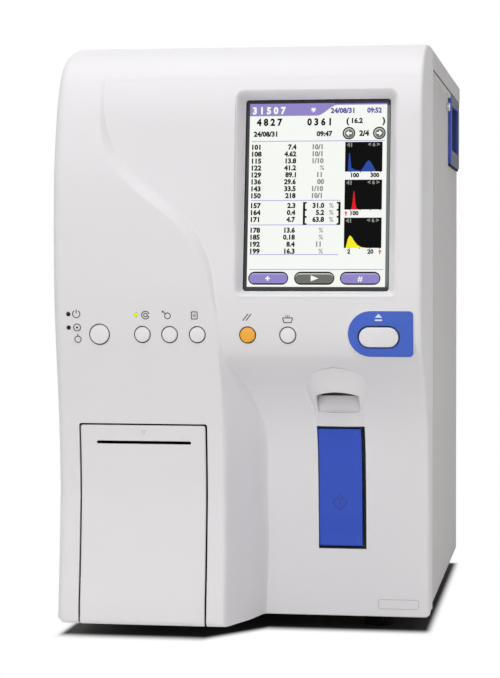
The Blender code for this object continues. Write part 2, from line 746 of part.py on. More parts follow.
def surface_patch(name, left, right, bottom, top, reach_at, wall, origin=(0, 0, 0)):
    """A strip of a front surface between two sides and two heights, with a wall behind it."""
    heights = [z for z, _, _ in profile_rows() if bottom + SMALLEST_ROW < z < top - SMALLEST_ROW]
    mesh_builder = bmesh.new()
    lines = []
    for z in [bottom] + heights + [top]:
        y = reach_y(reach_at(z))
        lines.append([mesh_builder.verts.new((x, y, z)) for x in (left, right)])
    for lower, upper in zip(lines, lines[1:]):
        strip(mesh_builder, lower, upper)
    obj = finish_mesh(name, mesh_builder, origin)
    if obj.data.polygons[0].normal.y > 0:
        obj.data.flip_normals()
    return thicken(obj, wall)


def bore_x(obj, y, z, radius):
    cut(obj, rod(f"{obj.name}_bore", (-HALF_WIDTH, y, z), (HALF_WIDTH, y, z), radius))


def key_places():
    """Name, x and radius of each round key."""
    return (
        ("power_key", HALF_WIDTH * POWER_KEY_X_SHARE, POWER_KEY_RADIUS),
        ("menu_key", HALF_WIDTH * MENU_KEY_X_SHARE, KEY_RADIUS),
        ("mode_key", HALF_WIDTH * MODE_KEY_X_SHARE, KEY_RADIUS),
        ("record_key", HALF_WIDTH * RECORD_KEY_X_SHARE, KEY_RADIUS),
        ("clear_key", HALF_WIDTH * CLEAR_KEY_X_SHARE, KEY_RADIUS),
        ("drain_key", HALF_WIDTH * DRAIN_KEY_X_SHARE, KEY_RADIUS),
    )


def lamp_places():
    return (
        ("power_lamp", LAMP_X, LAMP_UPPER_Z), ("standby_lamp", LAMP_X, LAMP_LOWER_Z),
        ("busy_lamp", BUSY_LAMP_X, BUSY_LAMP_Z),
    )


def key_reach(x, z):
    edge = HALF_WIDTH * share_of(WAVE_SHARES, (z - BODY_BOTTOM) / BODY_HEIGHT)
    return front_reach(z) if x < edge else right_reach(z)


KEY_BACK_REACH = min(key_reach(x, KEY_Z) for _, x, _ in key_places()) + KEY_PROUD - KEY_LENGTH
KEY_BOARD_REACH = KEY_BACK_REACH - KEY_TRAVEL - GAP
PLATE_CENTRE = (0.0, reach_y(right_reach(PLATE_Z)), PLATE_Z)
PADDLE_PIN_Z = PADDLE_TOP - PADDLE_PIN_DOWN
PADDLE_PIN_REACH = right_reach(PADDLE_PIN_Z) - PADDLE_SINK - PADDLE_WALL - PADDLE_PIN_IN
DOOR_PIN_Z = BODY_BOTTOM + DOOR_PIN_UP
DOOR_PIN_REACH = front_reach(DOOR_PIN_Z) - DOOR_PIN_IN


def front_bezel():
    bezel = front_bezel_shell()
    cut_controls(bezel)
    cut_display(bezel)
    cut_plate(bezel)
    printer_bosses(bezel)
    paddle_bosses(bezel)
    cut_printer_door(bezel)
    cut_sampler(bezel)
    paint(bezel, WHITE_PAINT)


def cut_controls(bezel):
    mesh_builder = bmesh.new()
    for _, x, radius in key_places():
        add_rod(mesh_builder, (x, reach_y(FRONT_REACH) - OVERRUN, KEY_Z),
                (x, reach_y(KEY_BACK_REACH), KEY_Z), radius + GAP)
    for _, x, z in lamp_places():
        add_rod(mesh_builder, (x, reach_y(FRONT_REACH) - OVERRUN, z),
                (x, reach_y(KEY_BACK_REACH), z), LAMP_RADIUS + GAP, 12)
    cut(bezel, finish_mesh("control_holes", mesh_builder))


def display_opening(margin):
    """Left, right, bottom and top of the display surround, grown by a margin."""
    half = SCREEN_WIDTH / 2 + SURROUND_SIDE + margin
    return (SCREEN_X - half, SCREEN_X + half, DISPLAY_BOTTOM - margin,
            DISPLAY_BOTTOM + DISPLAY_HEIGHT + margin)


def cut_display(bezel):
    left, right, bottom, top = display_opening(GAP)
    cut(bezel, box("display_opening", (left, reach_y(FRONT_REACH) - OVERRUN, bottom),
                   (right, reach_y(SCREEN_REACH_TOP) + OVERRUN, top)))


def cut_plate(bezel):
    y = PLATE_CENTRE[1]
    opening = prism("plate_opening", plate_outline(GAP), y - OVERRUN, y + OVERRUN)
    cut(bezel, tilted(opening, PLATE_CENTRE, PLATE_TILT))


def printer_bosses(bezel):
    """Two blocks on the bezel floor that carry the printer door's pin."""
    y = reach_y(DOOR_PIN_REACH)
    for side, edge in ((-1, DOOR_LEFT), (1, DOOR_RIGHT)):
        inner = edge + side * (DOOR_GAP + GAP)
        outer = inner + side * LUG_WIDTH
        low = (min(inner, outer), y - LUG_HALF, BODY_BOTTOM + BEZEL_WALL / 2)
        high = (max(inner, outer), y + LUG_HALF, DOOR_PIN_Z + LUG_HALF)
        join(bezel, box(f"printer_boss_{side}", low, high))


def paddle_bosses(bezel):
    """Two blocks behind the recess face that carry the paddle's pin."""
    y = reach_y(PADDLE_PIN_REACH)
    for side, edge in ((-1, PADDLE_LEFT - PADDLE_GAP_LEFT), (1, PADDLE_RIGHT + PADDLE_GAP_RIGHT)):
        inner = edge + side * GAP
        outer = inner + side * LUG_WIDTH
        face = reach_y(right_reach(PADDLE_PIN_Z - LUG_HALF) - WELD)
        low = (min(inner, outer), face, PADDLE_PIN_Z - LUG_HALF)
        high = (max(inner, outer), y + LUG_HALF, PADDLE_PIN_Z + LUG_HALF)
        join(bezel, box(f"paddle_boss_{side}", low, high))


def cut_printer_door(bezel):
    cut(bezel, box("door_opening", (DOOR_LEFT - DOOR_GAP, reach_y(FRONT_REACH) - OVERRUN, 0),
                   (DOOR_RIGHT + DOOR_GAP, reach_y(front_reach(BODY_BOTTOM) - DOOR_CUT_DEPTH),
                    DOOR_TOP + DOOR_GAP)))
    start = (DOOR_LEFT - LUG_WIDTH * 2, reach_y(DOOR_PIN_REACH), DOOR_PIN_Z)
    end = (DOOR_RIGHT + LUG_WIDTH * 2, reach_y(DOOR_PIN_REACH), DOOR_PIN_Z)
    cut(bezel, rod("door_pin_hole", start, end, DOOR_PIN_RADIUS + PIN_CLEARANCE, 16))


def cut_sampler(bezel):
    cut(bezel, box("paddle_opening",
                   (PADDLE_LEFT - PADDLE_GAP_LEFT, reach_y(FRONT_REACH), PADDLE_BOTTOM - PADDLE_GAP_ENDS),
                   (PADDLE_RIGHT + PADDLE_GAP_RIGHT, SEAM_Y, PADDLE_TOP + PADDLE_GAP_ENDS)))
    cut(bezel, box("needle_slit", (HOOD_X - WINDOW_HALF, reach_y(FRONT_REACH), SLIT_BOTTOM),
                   (HOOD_X + WINDOW_HALF, reach_y(RAIL_REACH), SLIT_TOP)))
    start = (PADDLE_LEFT - LUG_WIDTH * 2, reach_y(PADDLE_PIN_REACH), PADDLE_PIN_Z)
    end = (PADDLE_RIGHT + PADDLE_GAP_RIGHT + LUG_WIDTH * 2, reach_y(PADDLE_PIN_REACH), PADDLE_PIN_Z)
    cut(bezel, rod("paddle_pin_hole", start, end, DOOR_PIN_RADIUS + PIN_CLEARANCE, 16))


def keys_and_lamps():
    for name, x, radius in key_places():
        front = reach_y(key_reach(x, KEY_Z) + KEY_PROUD)
        key = rod(name, (x, front, KEY_Z), (x, front + KEY_LENGTH, KEY_Z), radius, 32, (x, front, KEY_Z))
        paint(key, ORANGE if name == "clear_key" else WHITE_PAINT, 0.4)
    for name, x, z in lamp_places():
        front = reach_y(key_reach(x, z) + LAMP_PROUD)
        lamp = rod(name, (x, front, z), (x, reach_y(KEY_BOARD_REACH + GAP), z), LAMP_RADIUS, 12)
        paint(lamp, YELLOW if name == "busy_lamp" else GREEN, 0.3)
    board = box("key_board", (KEY_BOARD_LEFT, reach_y(KEY_BOARD_REACH), KEY_BOARD_BOTTOM),
                (KEY_BOARD_RIGHT, reach_y(KEY_BOARD_REACH - BOARD_THICKNESS), KEY_BOARD_TOP))
    paint(board, BOARD_GREEN)


def eject_controls():
    front = PLATE_CENTRE[1] - PLATE_PROUD
    plate = prism("eject_plate", plate_outline(0), front, front + PLATE_THICKNESS)
    tilted(plate, PLATE_CENTRE, PLATE_TILT)
    hole = prism("eject_hole", stadium(EJECT_X, EJECT_Z, EJECT_WIDTH + 2 * GAP, EJECT_HEIGHT + 2 * GAP),
                 front - OVERRUN, front + OVERRUN)
    cut(plate, tilted(hole, PLATE_CENTRE, PLATE_TILT))
    paint(plate, BLUE, 0.35)
    key_front = front - EJECT_PROUD
    key = prism("eject_key", stadium(EJECT_X, EJECT_Z, EJECT_WIDTH, EJECT_HEIGHT),
                key_front, key_front + KEY_LENGTH, (EJECT_X, key_front, EJECT_Z))
    paint(tilted(key, PLATE_CENTRE, PLATE_TILT), WHITE_PAINT, 0.4)


def display():
    surround()
    centre = Vector((SCREEN_X, reach_y(screen_reach(SCREEN_Z)), SCREEN_Z))
    length = SCREEN_HEIGHT / math.cos(SCREEN_TILT)
    for name, front, thickness, shrink, colour in (
        ("display_glass", 0, GLASS_THICKNESS, 0, GLASS),
        ("lcd_module", GLASS_THICKNESS + GAP, LCD_THICKNESS, GAP, STEEL),
    ):
        half_width = SCREEN_WIDTH / 2 - shrink
        half_height = length / 2 - shrink
        piece = box(name, (-half_width, front, -half_height), (half_width, front + thickness, half_height))
        piece.location = centre
        piece.rotation_euler = (-SCREEN_TILT, 0, 0)
        paint(piece, colour, 0.1 if name == "display_glass" else 0.5)


def surround():
    """The sloped border between the bezel's opening and the glass, as a ring of four loops."""
    left, right, bottom, top = display_opening(0)
    inner_left = SCREEN_X - SCREEN_WIDTH / 2 - GAP
    inner_right = SCREEN_X + SCREEN_WIDTH / 2 + GAP
    inner_bottom = SCREEN_Z - SCREEN_HEIGHT / 2 - GAP * 2
    inner_top = SCREEN_Z + SCREEN_HEIGHT / 2 + GAP * 2

    def loop(x0, x1, z0, z1, low_reach, high_reach):
        return [(x0, reach_y(low_reach), z0), (x1, reach_y(low_reach), z0),
                (x1, reach_y(high_reach), z1), (x0, reach_y(high_reach), z1)]

    loops = (
        loop(left, right, bottom, top, SURROUND_REACH_BOTTOM, SURROUND_REACH_TOP),
        loop(inner_left, inner_right, inner_bottom, inner_top,
             SCREEN_REACH_BOTTOM + GAP, SCREEN_REACH_TOP + GAP),
        loop(inner_left, inner_right, inner_bottom, inner_top,
             SCREEN_REACH_BOTTOM - SURROUND_BACK, SCREEN_REACH_TOP - SURROUND_BACK),
        loop(left, right, bottom, top,
             SCREEN_REACH_BOTTOM - SURROUND_BACK, SCREEN_REACH_TOP - SURROUND_BACK),
    )
    mesh_builder = bmesh.new()
    rings = [[mesh_builder.verts.new(point) for point in points] for points in loops]
    for first, second in zip(rings, rings[1:] + rings[:1]):
        for corner in range(4):
            after = (corner + 1) % 4
            mesh_builder.faces.new((first[corner], first[after], second[after], second[corner]))
    paint(finish_mesh("display_surround", mesh_builder), WHITE_PAINT)


def printer_door():
    y = reach_y(DOOR_PIN_REACH)
    door = surface_patch("printer_door", DOOR_LEFT, DOOR_RIGHT, BODY_BOTTOM, DOOR_TOP, front_reach,
                         DOOR_WALL, (0, y, DOOR_PIN_Z))
    for side, edge in ((1, DOOR_LEFT), (-1, DOOR_RIGHT)):
        x = edge + side * LUG_WIDTH
        low = (x - LUG_WIDTH / 2, reach_y(front_reach(DOOR_PIN_Z) - WELD), DOOR_PIN_Z - LUG_HALF)
        high = (x + LUG_WIDTH / 2, y + LUG_HALF, DOOR_PIN_Z + LUG_HALF)
        join(door, box(f"printer_door_lug_{side}", low, high))
    cut(door, rod("printer_door_bore", (DOOR_LEFT - OVERRUN, y, DOOR_PIN_Z),
                  (DOOR_RIGHT + OVERRUN, y, DOOR_PIN_Z), DOOR_PIN_RADIUS + PIN_CLEARANCE, 16))
    cut(door, box("paper_slot",
                  (SLOT_X - SLOT_WIDTH / 2, reach_y(FRONT_REACH), SLOT_Z - SLOT_HEIGHT / 2),
                  (SLOT_X + SLOT_WIDTH / 2, reach_y(DOOR_PIN_REACH) + OVERRUN, SLOT_Z + SLOT_HEIGHT / 2)))
    paint(door, WHITE_PAINT)
    pin = rod("printer_door_pin", (DOOR_LEFT - DOOR_GAP - LUG_WIDTH, y, DOOR_PIN_Z),
              (DOOR_RIGHT + DOOR_GAP + LUG_WIDTH, y, DOOR_PIN_Z), DOOR_PIN_RADIUS, 16)
    paint(pin, STEEL, 0.3, 1.0)


DOOR_LEAST_REACH = min(front_reach(z) for z in (DOOR_TOP, SLOT_Z, DOOR_PIN_Z))
PRINTER_FRONT_REACH = DOOR_LEAST_REACH - DOOR_WALL - PRINTER_FRONT_SPACE
PRINTER_HALF = PAPER_WIDTH / 2 + PAPER_SIDE_PLAY + PRINTER_WALL
PRINTER_BOTTOM = BEZEL_FLOOR_Z + FLOOR_CLEARANCE
PAPER_Z = PRINTER_BOTTOM + PRINTER_WALL + PAPER_RADIUS + GAP
PAPER_REACH = PRINTER_WALL + PAPER_RADIUS + PAPER_SIDE_PLAY
PLATEN_REACH = PRINTER_FRONT_REACH - PLATEN_FROM_FRONT
PLATEN_Z = PRINTER_TOP - PLATEN_FROM_TOP


def printer():
    """The printer's housing, its head bar, the rubber platen and the paper roll."""
    body = box("printer_body", (SLOT_X - PRINTER_HALF, reach_y(PRINTER_FRONT_REACH), PRINTER_BOTTOM),
               (SLOT_X + PRINTER_HALF, reach_y(GAP), PRINTER_TOP))
    inner = PRINTER_HALF - PRINTER_WALL
    cut(body, box("printer_hollow",
                  (SLOT_X - inner, reach_y(PRINTER_FRONT_REACH + OVERRUN), PRINTER_BOTTOM + PRINTER_WALL),
                  (SLOT_X + inner, reach_y(PRINTER_WALL), PRINTER_TOP - PRINTER_WALL)))
    head_back = PLATEN_REACH - PLATEN_RADIUS - GAP
    join(body, box("print_head",
                   (SLOT_X - inner - WELD, reach_y(head_back), PLATEN_Z - PLATEN_RADIUS),
                   (SLOT_X + inner + WELD, reach_y(head_back - HEAD_THICKNESS), PRINTER_TOP - WELD)))
    bore_x(body, reach_y(PLATEN_REACH), PLATEN_Z, PLATEN_SHAFT + PIN_CLEARANCE)
    paint(body, GREY)
    place = (SLOT_X - PRINTER_HALF, reach_y(PLATEN_REACH), PLATEN_Z)
    start = PRINTER_WALL + GAP
    end = 2 * PRINTER_HALF - start
    profile = ((0, 0), (PLATEN_SHAFT, 0), (PLATEN_SHAFT, start), (PLATEN_RADIUS, start),
               (PLATEN_RADIUS, end), (PLATEN_SHAFT, end), (PLATEN_SHAFT, 2 * PRINTER_HALF),
               (0, 2 * PRINTER_HALF))
    platen = turned("platen_roller", profile, place, (1, 0, 0))
    paint(platen, BLACK, 0.8)
    centre = (SLOT_X, reach_y(PAPER_REACH), PAPER_Z)
    left = (SLOT_X - PAPER_WIDTH / 2, centre[1], PAPER_Z)
    right = (SLOT_X + PAPER_WIDTH / 2, centre[1], PAPER_Z)
    roll = rod("paper_roll", left, right, PAPER_RADIUS, 32, centre)
    core_start = (left[0] - OVERRUN, *left[1:])
    core_end = (right[0] + OVERRUN, *right[1:])
    cut(roll, rod("paper_core", core_start, core_end, PAPER_CORE, 16))
    paint(roll, PAPER, 0.9)


def start_paddle():
    y = reach_y(PADDLE_PIN_REACH)
    paddle = surface_patch("start_paddle", PADDLE_LEFT, PADDLE_RIGHT, PADDLE_BOTTOM, PADDLE_TOP,
                           lambda z: right_reach(z) - PADDLE_SINK, PADDLE_WALL, (0, y, PADDLE_PIN_Z))
    for side, edge in ((1, PADDLE_LEFT), (-1, PADDLE_RIGHT)):
        x = edge + side * LUG_WIDTH
        face = reach_y(right_reach(PADDLE_PIN_Z - LUG_HALF) - PADDLE_SINK - WELD)
        join(paddle, box(f"start_paddle_lug_{side}",
                         (x - LUG_WIDTH / 2, face, PADDLE_PIN_Z - LUG_HALF),
                         (x + LUG_WIDTH / 2, y + LUG_HALF, PADDLE_PIN_Z + LUG_HALF)))
    cut(paddle, rod("start_paddle_bore", (PADDLE_LEFT - OVERRUN, y, PADDLE_PIN_Z),
                    (PADDLE_RIGHT + OVERRUN, y, PADDLE_PIN_Z), DOOR_PIN_RADIUS + PIN_CLEARANCE, 16))
    paint(paddle, BLUE, 0.35)
    pin = rod("paddle_pin", (PADDLE_LEFT - PADDLE_GAP_LEFT - LUG_WIDTH, y, PADDLE_PIN_Z),
              (PADDLE_RIGHT + PADDLE_GAP_RIGHT + LUG_WIDTH, y, PADDLE_PIN_Z), DOOR_PIN_RADIUS, 16)
    paint(pin, STEEL, 0.3, 1.0)


def hood_half(z):
    """Half the hood's width: a neck at its foot, a shoulder, and a round top."""
    return HOOD_HALF * share_of(HOOD_WIDTH_SHARES, (z - HOOD_BOTTOM) / (HOOD_TOP - HOOD_BOTTOM))


def hood_rise(z, side_share):
    """How far the hood stands out of the recess: fullest above its window."""
    rise = HOOD_RISE * share_of(HOOD_RISE_SHARES, (z - HOOD_BOTTOM) / (HOOD_TOP - HOOD_BOTTOM))
    return HOOD_RIM + rise * math.sqrt(max(0.0, 1 - side_share ** 2))


def sampler_hood():
    """The domed cover over the needle: a solid dome on the recess face, with a window through it."""
    rows = profile_rows()
    between = [z for z, _, _ in rows if HOOD_BOTTOM + SMALLEST_ROW / 2 < z < HOOD_TOP - SMALLEST_ROW / 2]
    mesh_builder = bmesh.new()
    fronts, backs = [], []
    for z in [HOOD_BOTTOM] + between + [HOOD_TOP]:
        half = hood_half(z)
        base = float(np.interp(z, [row[0] for row in rows], [row[2] for row in rows])) + GAP
        front = [(HOOD_X + half * side, reach_y(base + hood_rise(z, side)), z) for side in HOOD_SIDE_SHARES]
        back = [(HOOD_X + half * side, reach_y(base), z) for side in HOOD_SIDE_SHARES]
        fronts.append([mesh_builder.verts.new(point) for point in front])
        backs.append([mesh_builder.verts.new(point) for point in back])
    for sheet in (fronts, backs):
        for lower, upper in zip(sheet, sheet[1:]):
            strip(mesh_builder, lower, upper)
    for edge in (0, -1):
        strip(mesh_builder, [line[edge] for line in fronts], [line[edge] for line in backs])
        strip(mesh_builder, fronts[edge], backs[edge])
    hood = finish_mesh("sampler_hood", mesh_builder)
    outline = [(HOOD_X - WINDOW_HALF, WINDOW_BOTTOM), (HOOD_X + WINDOW_HALF, WINDOW_BOTTOM)]
    for share in ARCH_SHARES:
        outline.append((HOOD_X + WINDOW_HALF * share, WINDOW_TOP + WINDOW_ARCH * (1 - share ** 2)))
    cut(hood, prism("hood_window", outline, reach_y(FRONT_REACH), SEAM_Y))
    paint(hood, WHITE_PAINT)


def sampler_unit():
    """Needle, its carriage on the rail, and the rinse block that it passes through."""
    rail_y = reach_y(RAIL_REACH)
    needle_y = reach_y(NEEDLE_REACH)
    paint(rod("needle_rail", (HOOD_X, rail_y, RAIL_BOTTOM), (HOOD_X, rail_y, RAIL_TOP), RAIL_RADIUS, 20),
          STEEL, 0.3, 1.0)
    top = CARRIAGE_BOTTOM + CARRIAGE_HEIGHT
    carriage = box("needle_carriage", (HOOD_X - CARRIAGE_HALF, reach_y(CARRIAGE_FRONT), CARRIAGE_BOTTOM),
                   (HOOD_X + CARRIAGE_HALF, reach_y(CARRIAGE_BACK), top), (HOOD_X, rail_y, CARRIAGE_BOTTOM))
    cut(carriage, rod("carriage_bore", (HOOD_X, rail_y, CARRIAGE_BOTTOM - OVERRUN),
                      (HOOD_X, rail_y, top + OVERRUN), RAIL_RADIUS + PIN_CLEARANCE, 20))
    paint(carriage, BLACK)
    needle = rod("sample_needle", (HOOD_X, needle_y, NEEDLE_TIP), (HOOD_X, needle_y, CARRIAGE_BOTTOM - GAP),
                 NEEDLE_RADIUS, 12, (HOOD_X, needle_y, CARRIAGE_BOTTOM))
    paint(needle, STEEL, 0.2, 1.0)
    rinse = box("rinse_block", (HOOD_X - CARRIAGE_HALF, reach_y(CARRIAGE_FRONT), RINSE_BOTTOM),
                (HOOD_X + CARRIAGE_HALF, FRAME_Y - GAP, RINSE_BOTTOM + RINSE_HEIGHT))
    bore_start = (HOOD_X, needle_y, RINSE_BOTTOM - OVERRUN)
    bore_end = (HOOD_X, needle_y, RINSE_BOTTOM + RINSE_HEIGHT + OVERRUN)
    cut(rinse, rod("rinse_bore", bore_start, bore_end, NEEDLE_RADIUS + NEEDLE_CLEARANCE, 12))
    paint(rinse, CLEAR_PLASTIC, 0.2)


def top_cover():
    """A bent sheet: the top and two short sides, with the bezel's two edge radii."""
    points = [(-HALF_WIDTH, FLANGE_Z)]
    for side, radius in ((-1, LEFT_FILLET), (1, RIGHT_FILLET)):
        centre = (side * (HALF_WIDTH - radius), BODY_TOP - radius)
        steps = (0, 1, 2) if side < 0 else (2, 1, 0)
        for step in steps:
            angle = math.pi / 4 * step
            points.append((centre[0] + side * radius * math.cos(angle),
                           centre[1] + radius * math.sin(angle)))
    points.append((HALF_WIDTH, FLANGE_Z))
    paint(bent_sheet("top_cover", points, SEAM_Y + GAP, REAR_Y, HALF_WIDTH), COVER_PAINT)


def bent_sheet(name, points, front_y, back_y, away_x):
    """An open outline of (x, z) points drawn along Y, thickened towards the middle of the body."""
    mesh_builder = bmesh.new()
    front, back = ([mesh_builder.verts.new((x, y, z)) for x, z in points] for y in (front_y, back_y))
    strip(mesh_builder, front, back)
    obj = finish_mesh(name, mesh_builder)
    widest = max(obj.data.polygons, key=lambda face: abs(face.center.x))
    if widest.normal.x * widest.center.x * away_x < 0:
        obj.data.flip_normals()
    return thicken(obj, SHEET)


def left_cover():
    cover = box("left_cover", (-SIDE_X, SEAM_Y + GAP, BODY_BOTTOM),
                (-INSIDE_X, REAR_Y, FLANGE_Z - COVER_SEAM))
    paint(cover, COVER_PAINT)


def base_plate():
    """The floor, which reaches out under the side door."""
    plate = box("base_plate", (-INSIDE_X + GAP, SEAM_Y + GAP, BODY_BOTTOM), (SIDE_X, REAR_Y, FLOOR_Z))
    paint(plate, COVER_PAINT)


def feet():
    for side, side_name in ((-1, "left"), (1, "right")):
        for y, end_name in ((SEAM_Y + FOOT_FROM_SEAM, "front"), (REAR_Y - FOOT_FROM_REAR, "rear")):
            top = BODY_BOTTOM - GAP
            profile = ((0, 0), (FOOT_RADIUS - FOOT_TAPER, 0), (FOOT_RADIUS, FOOT_TAPER), (FOOT_RADIUS, top),
                       (0, top))
            foot = turned(f"foot_{end_name}_{side_name}", profile, (side * FOOT_X, y, 0), (0, 0, 1))
            paint(foot, BLACK, 0.9)


HINGE_X = SIDE_X - DOOR_HINGE_IN
HINGE_Y = SEAM_Y + DOOR_HINGE_FROM_SEAM
HINGE_HEIGHTS = (("lower", DOOR_LUG_LOWER_Z), ("upper", DOOR_LUG_UPPER_Z))
FRAME_EAR_RADIUS = DOOR_HINGE_IN - SHEET - GAP


def hinge_holes(name):
    """Two upright rods that bore the ears of both hinges."""
    mesh_builder = bmesh.new()
    for _, z in HINGE_HEIGHTS:
        add_rod(mesh_builder, (HINGE_X, HINGE_Y, z - OVERRUN), (HINGE_X, HINGE_Y, z + OVERRUN),
                HINGE_PIN_RADIUS + PIN_CLEARANCE, 16)
    return finish_mesh(name, mesh_builder)


def right_door():
    """The side door: it stands on the base plate's edge and turns about its two hinge pins."""
    door = box("right_door", (INSIDE_X, SEAM_Y + DOOR_FRONT_FROM_SEAM, FLOOR_Z + GAP),
               (SIDE_X, REAR_Y, FLANGE_Z - COVER_SEAM), (HINGE_X, HINGE_Y, BODY_BOTTOM))
    for name, z in HINGE_HEIGHTS:
        join(door, box(f"door_ear_{name}", (HINGE_X - DOOR_LUG_HALF, HINGE_Y - DOOR_LUG_HALF, z),
                       (SIDE_X - WELD, HINGE_Y + DOOR_LUG_HALF, z + DOOR_LUG_THICKNESS)))
    cut(door, hinge_holes("door_pin_holes"))
    low, high = grip_tub(GRIP_WALL + GAP)
    cut(door, box("grip_opening", (low[0] - OVERRUN, low[1], low[2]), (SIDE_X + OVERRUN, high[1], high[2])))
    cut(door, rod("screw_hole", (INSIDE_X - OVERRUN, SCREW_Y, SCREW_Z),
                  (SIDE_X + OVERRUN, SCREW_Y, SCREW_Z), SCREW_SHANK_RADIUS + PIN_CLEARANCE, 16))
    paint(door, COVER_PAINT)


def grip_tub(margin):
    """Lowest and highest corners of the grip's finger space, grown by a margin."""
    low = (SIDE_X - GRIP_DEPTH - margin, GRIP_FRONT_Y + GRIP_FRONT_RIM - margin,
           GRIP_BOTTOM + GRIP_BOTTOM_RIM - margin)
    high = (SIDE_X, GRIP_FRONT_Y + GRIP_LENGTH - GRIP_REAR_RIM + margin, GRIP_TOP - GRIP_TOP_RIM + margin)
    return low, high


def side_grip():
    """A blue frame over the side door with a tub for the fingers behind it."""
    grip = box("side_grip", (SIDE_X + GAP, GRIP_FRONT_Y, GRIP_BOTTOM),
               (HALF_WIDTH, GRIP_FRONT_Y + GRIP_LENGTH, GRIP_TOP), (HINGE_X, HINGE_Y, BODY_BOTTOM))
    low, high = grip_tub(GRIP_WALL)
    join(grip, box("grip_tub", low, (HALF_WIDTH - WELD, high[1], high[2])))
    low, high = grip_tub(0)
    cut(grip, box("grip_hollow", low, (HALF_WIDTH + OVERRUN, high[1], high[2])))
    paint(grip, BLUE, 0.35)


def door_screw():
    head = SIDE_X + GAP
    end = SCREW_LENGTH + SCREW_HEAD_HEIGHT
    profile = ((0, 0), (SCREW_SHANK_RADIUS, 0), (SCREW_SHANK_RADIUS, SCREW_LENGTH),
               (SCREW_HEAD_RADIUS, SCREW_LENGTH), (SCREW_HEAD_RADIUS, end), (0, end))
    screw = turned("door_screw", profile, (head - SCREW_LENGTH, SCREW_Y, SCREW_Z), (1, 0, 0))
    paint(screw, STEEL, 0.3, 1.0)


def hinge_pins():
    for name, z in HINGE_HEIGHTS:
        low = z - DOOR_LUG_THICKNESS - GAP
        high = z + DOOR_LUG_THICKNESS + GAP
        pin = rod(f"hinge_pin_{name}", (HINGE_X, HINGE_Y, low), (HINGE_X, HINGE_Y, high),
                  HINGE_PIN_RADIUS, 16)
        paint(pin, STEEL, 0.3, 1.0)


def frame_ear(frame, name, z, edge):
    """An ear under the door's one, with a round end that the door's front edge swings round."""
    low = z - DOOR_LUG_THICKNESS - GAP
    high = low + DOOR_LUG_THICKNESS
    inner = edge - DOOR_LUG_HALF
    half = FRAME_EAR_RADIUS - WELD
    join(frame, box(f"frame_ear_foot_{name}", (inner, FRAME_Y + WELD, low), (edge, HINGE_Y + half, high)))
    join(frame, box(f"frame_ear_arm_{name}", (inner, HINGE_Y - half, low), (HINGE_X, HINGE_Y + half, high)))
    join(frame, rod(f"frame_ear_end_{name}", (HINGE_X, HINGE_Y, low), (HINGE_X, HINGE_Y, high),
                    FRAME_EAR_RADIUS))


def front_frame():
    """The upright sheet behind the bezel, with the ears and brackets that it carries."""
    half = HALF_WIDTH - FRAME_SIDE_MARGIN
    top = BODY_TOP - FRAME_TOP_MARGIN
    frame = box("front_frame", (-half, FRAME_Y, FLOOR_Z + GAP), (half, FRAME_BACK_Y, top))
    for name, z in HINGE_HEIGHTS:
        frame_ear(frame, name, z, half)
    for name, z in (("lower", RAIL_BOTTOM - GAP - BRACKET_THICKNESS), ("upper", RAIL_TOP + GAP)):
        bracket = box(f"rail_bracket_{name}",
                      (HOOD_X - CARRIAGE_HALF, reach_y(RAIL_REACH + RAIL_RADIUS * 2), z),
                      (HOOD_X + CARRIAGE_HALF, FRAME_BACK_Y - WELD, z + BRACKET_THICKNESS))
        join(frame, bracket)
    cut(frame, hinge_holes("frame_pin_holes"))
    paint(frame, STEEL, 0.4, 1.0)


def partition():
    paint(box("partition", (PARTITION_X, FRAME_BACK_Y + GAP, FLOOR_Z + GAP),
              (PARTITION_RIGHT, REAR_INSIDE_Y - GAP, BODY_TOP - FRAME_TOP_MARGIN)), STEEL, 0.4, 1.0)


def rear_panel():
    side, top, foot = INSIDE_X - GAP, BODY_TOP - SHEET - GAP, FLOOR_Z + GAP
    outline = ((-side, foot), (side, foot), (side, top - RIGHT_FILLET), (side - RIGHT_FILLET, top),
               (-side + LEFT_FILLET, top), (-side, top - LEFT_FILLET))
    panel = prism("rear_panel", outline, REAR_INSIDE_Y, REAR_Y)
    inner, outer = REAR_INSIDE_Y - OVERRUN, REAR_Y + OVERRUN
    mesh_builder = bmesh.new()
    add_rod(mesh_builder, (FAN_X, inner, FAN_Z), (FAN_X, outer, FAN_Z), FAN_RADIUS, 32)
    for x, z, width, height in ((INLET_X, INLET_Z, INLET_WIDTH, INLET_HEIGHT),
                                (SWITCH_X, INLET_Z, SWITCH_WIDTH, SWITCH_HEIGHT),
                                (DATA_X, DATA_Z, DATA_WIDTH, DATA_HEIGHT)):
        half_width, half_height = width / 2 + GAP, height / 2 + GAP
        add_box(mesh_builder, (x - half_width, inner, z - half_height),
                (x + half_width, outer, z + half_height))
    add_rod(mesh_builder, (INLET_X, inner, EARTH_Z), (INLET_X, outer, EARTH_Z), EARTH_RADIUS + GAP, 12)
    for _, place in PORT_PLACES:
        x = PORT_X + place * PORT_PITCH
        add_rod(mesh_builder, (x, inner, PORT_Z), (x, outer, PORT_Z), PORT_STEM_RADIUS + GAP, 20)
    cut(panel, finish_mesh("rear_holes", mesh_builder))
    switch_pins(panel)
    paint(panel, COVER_PAINT)


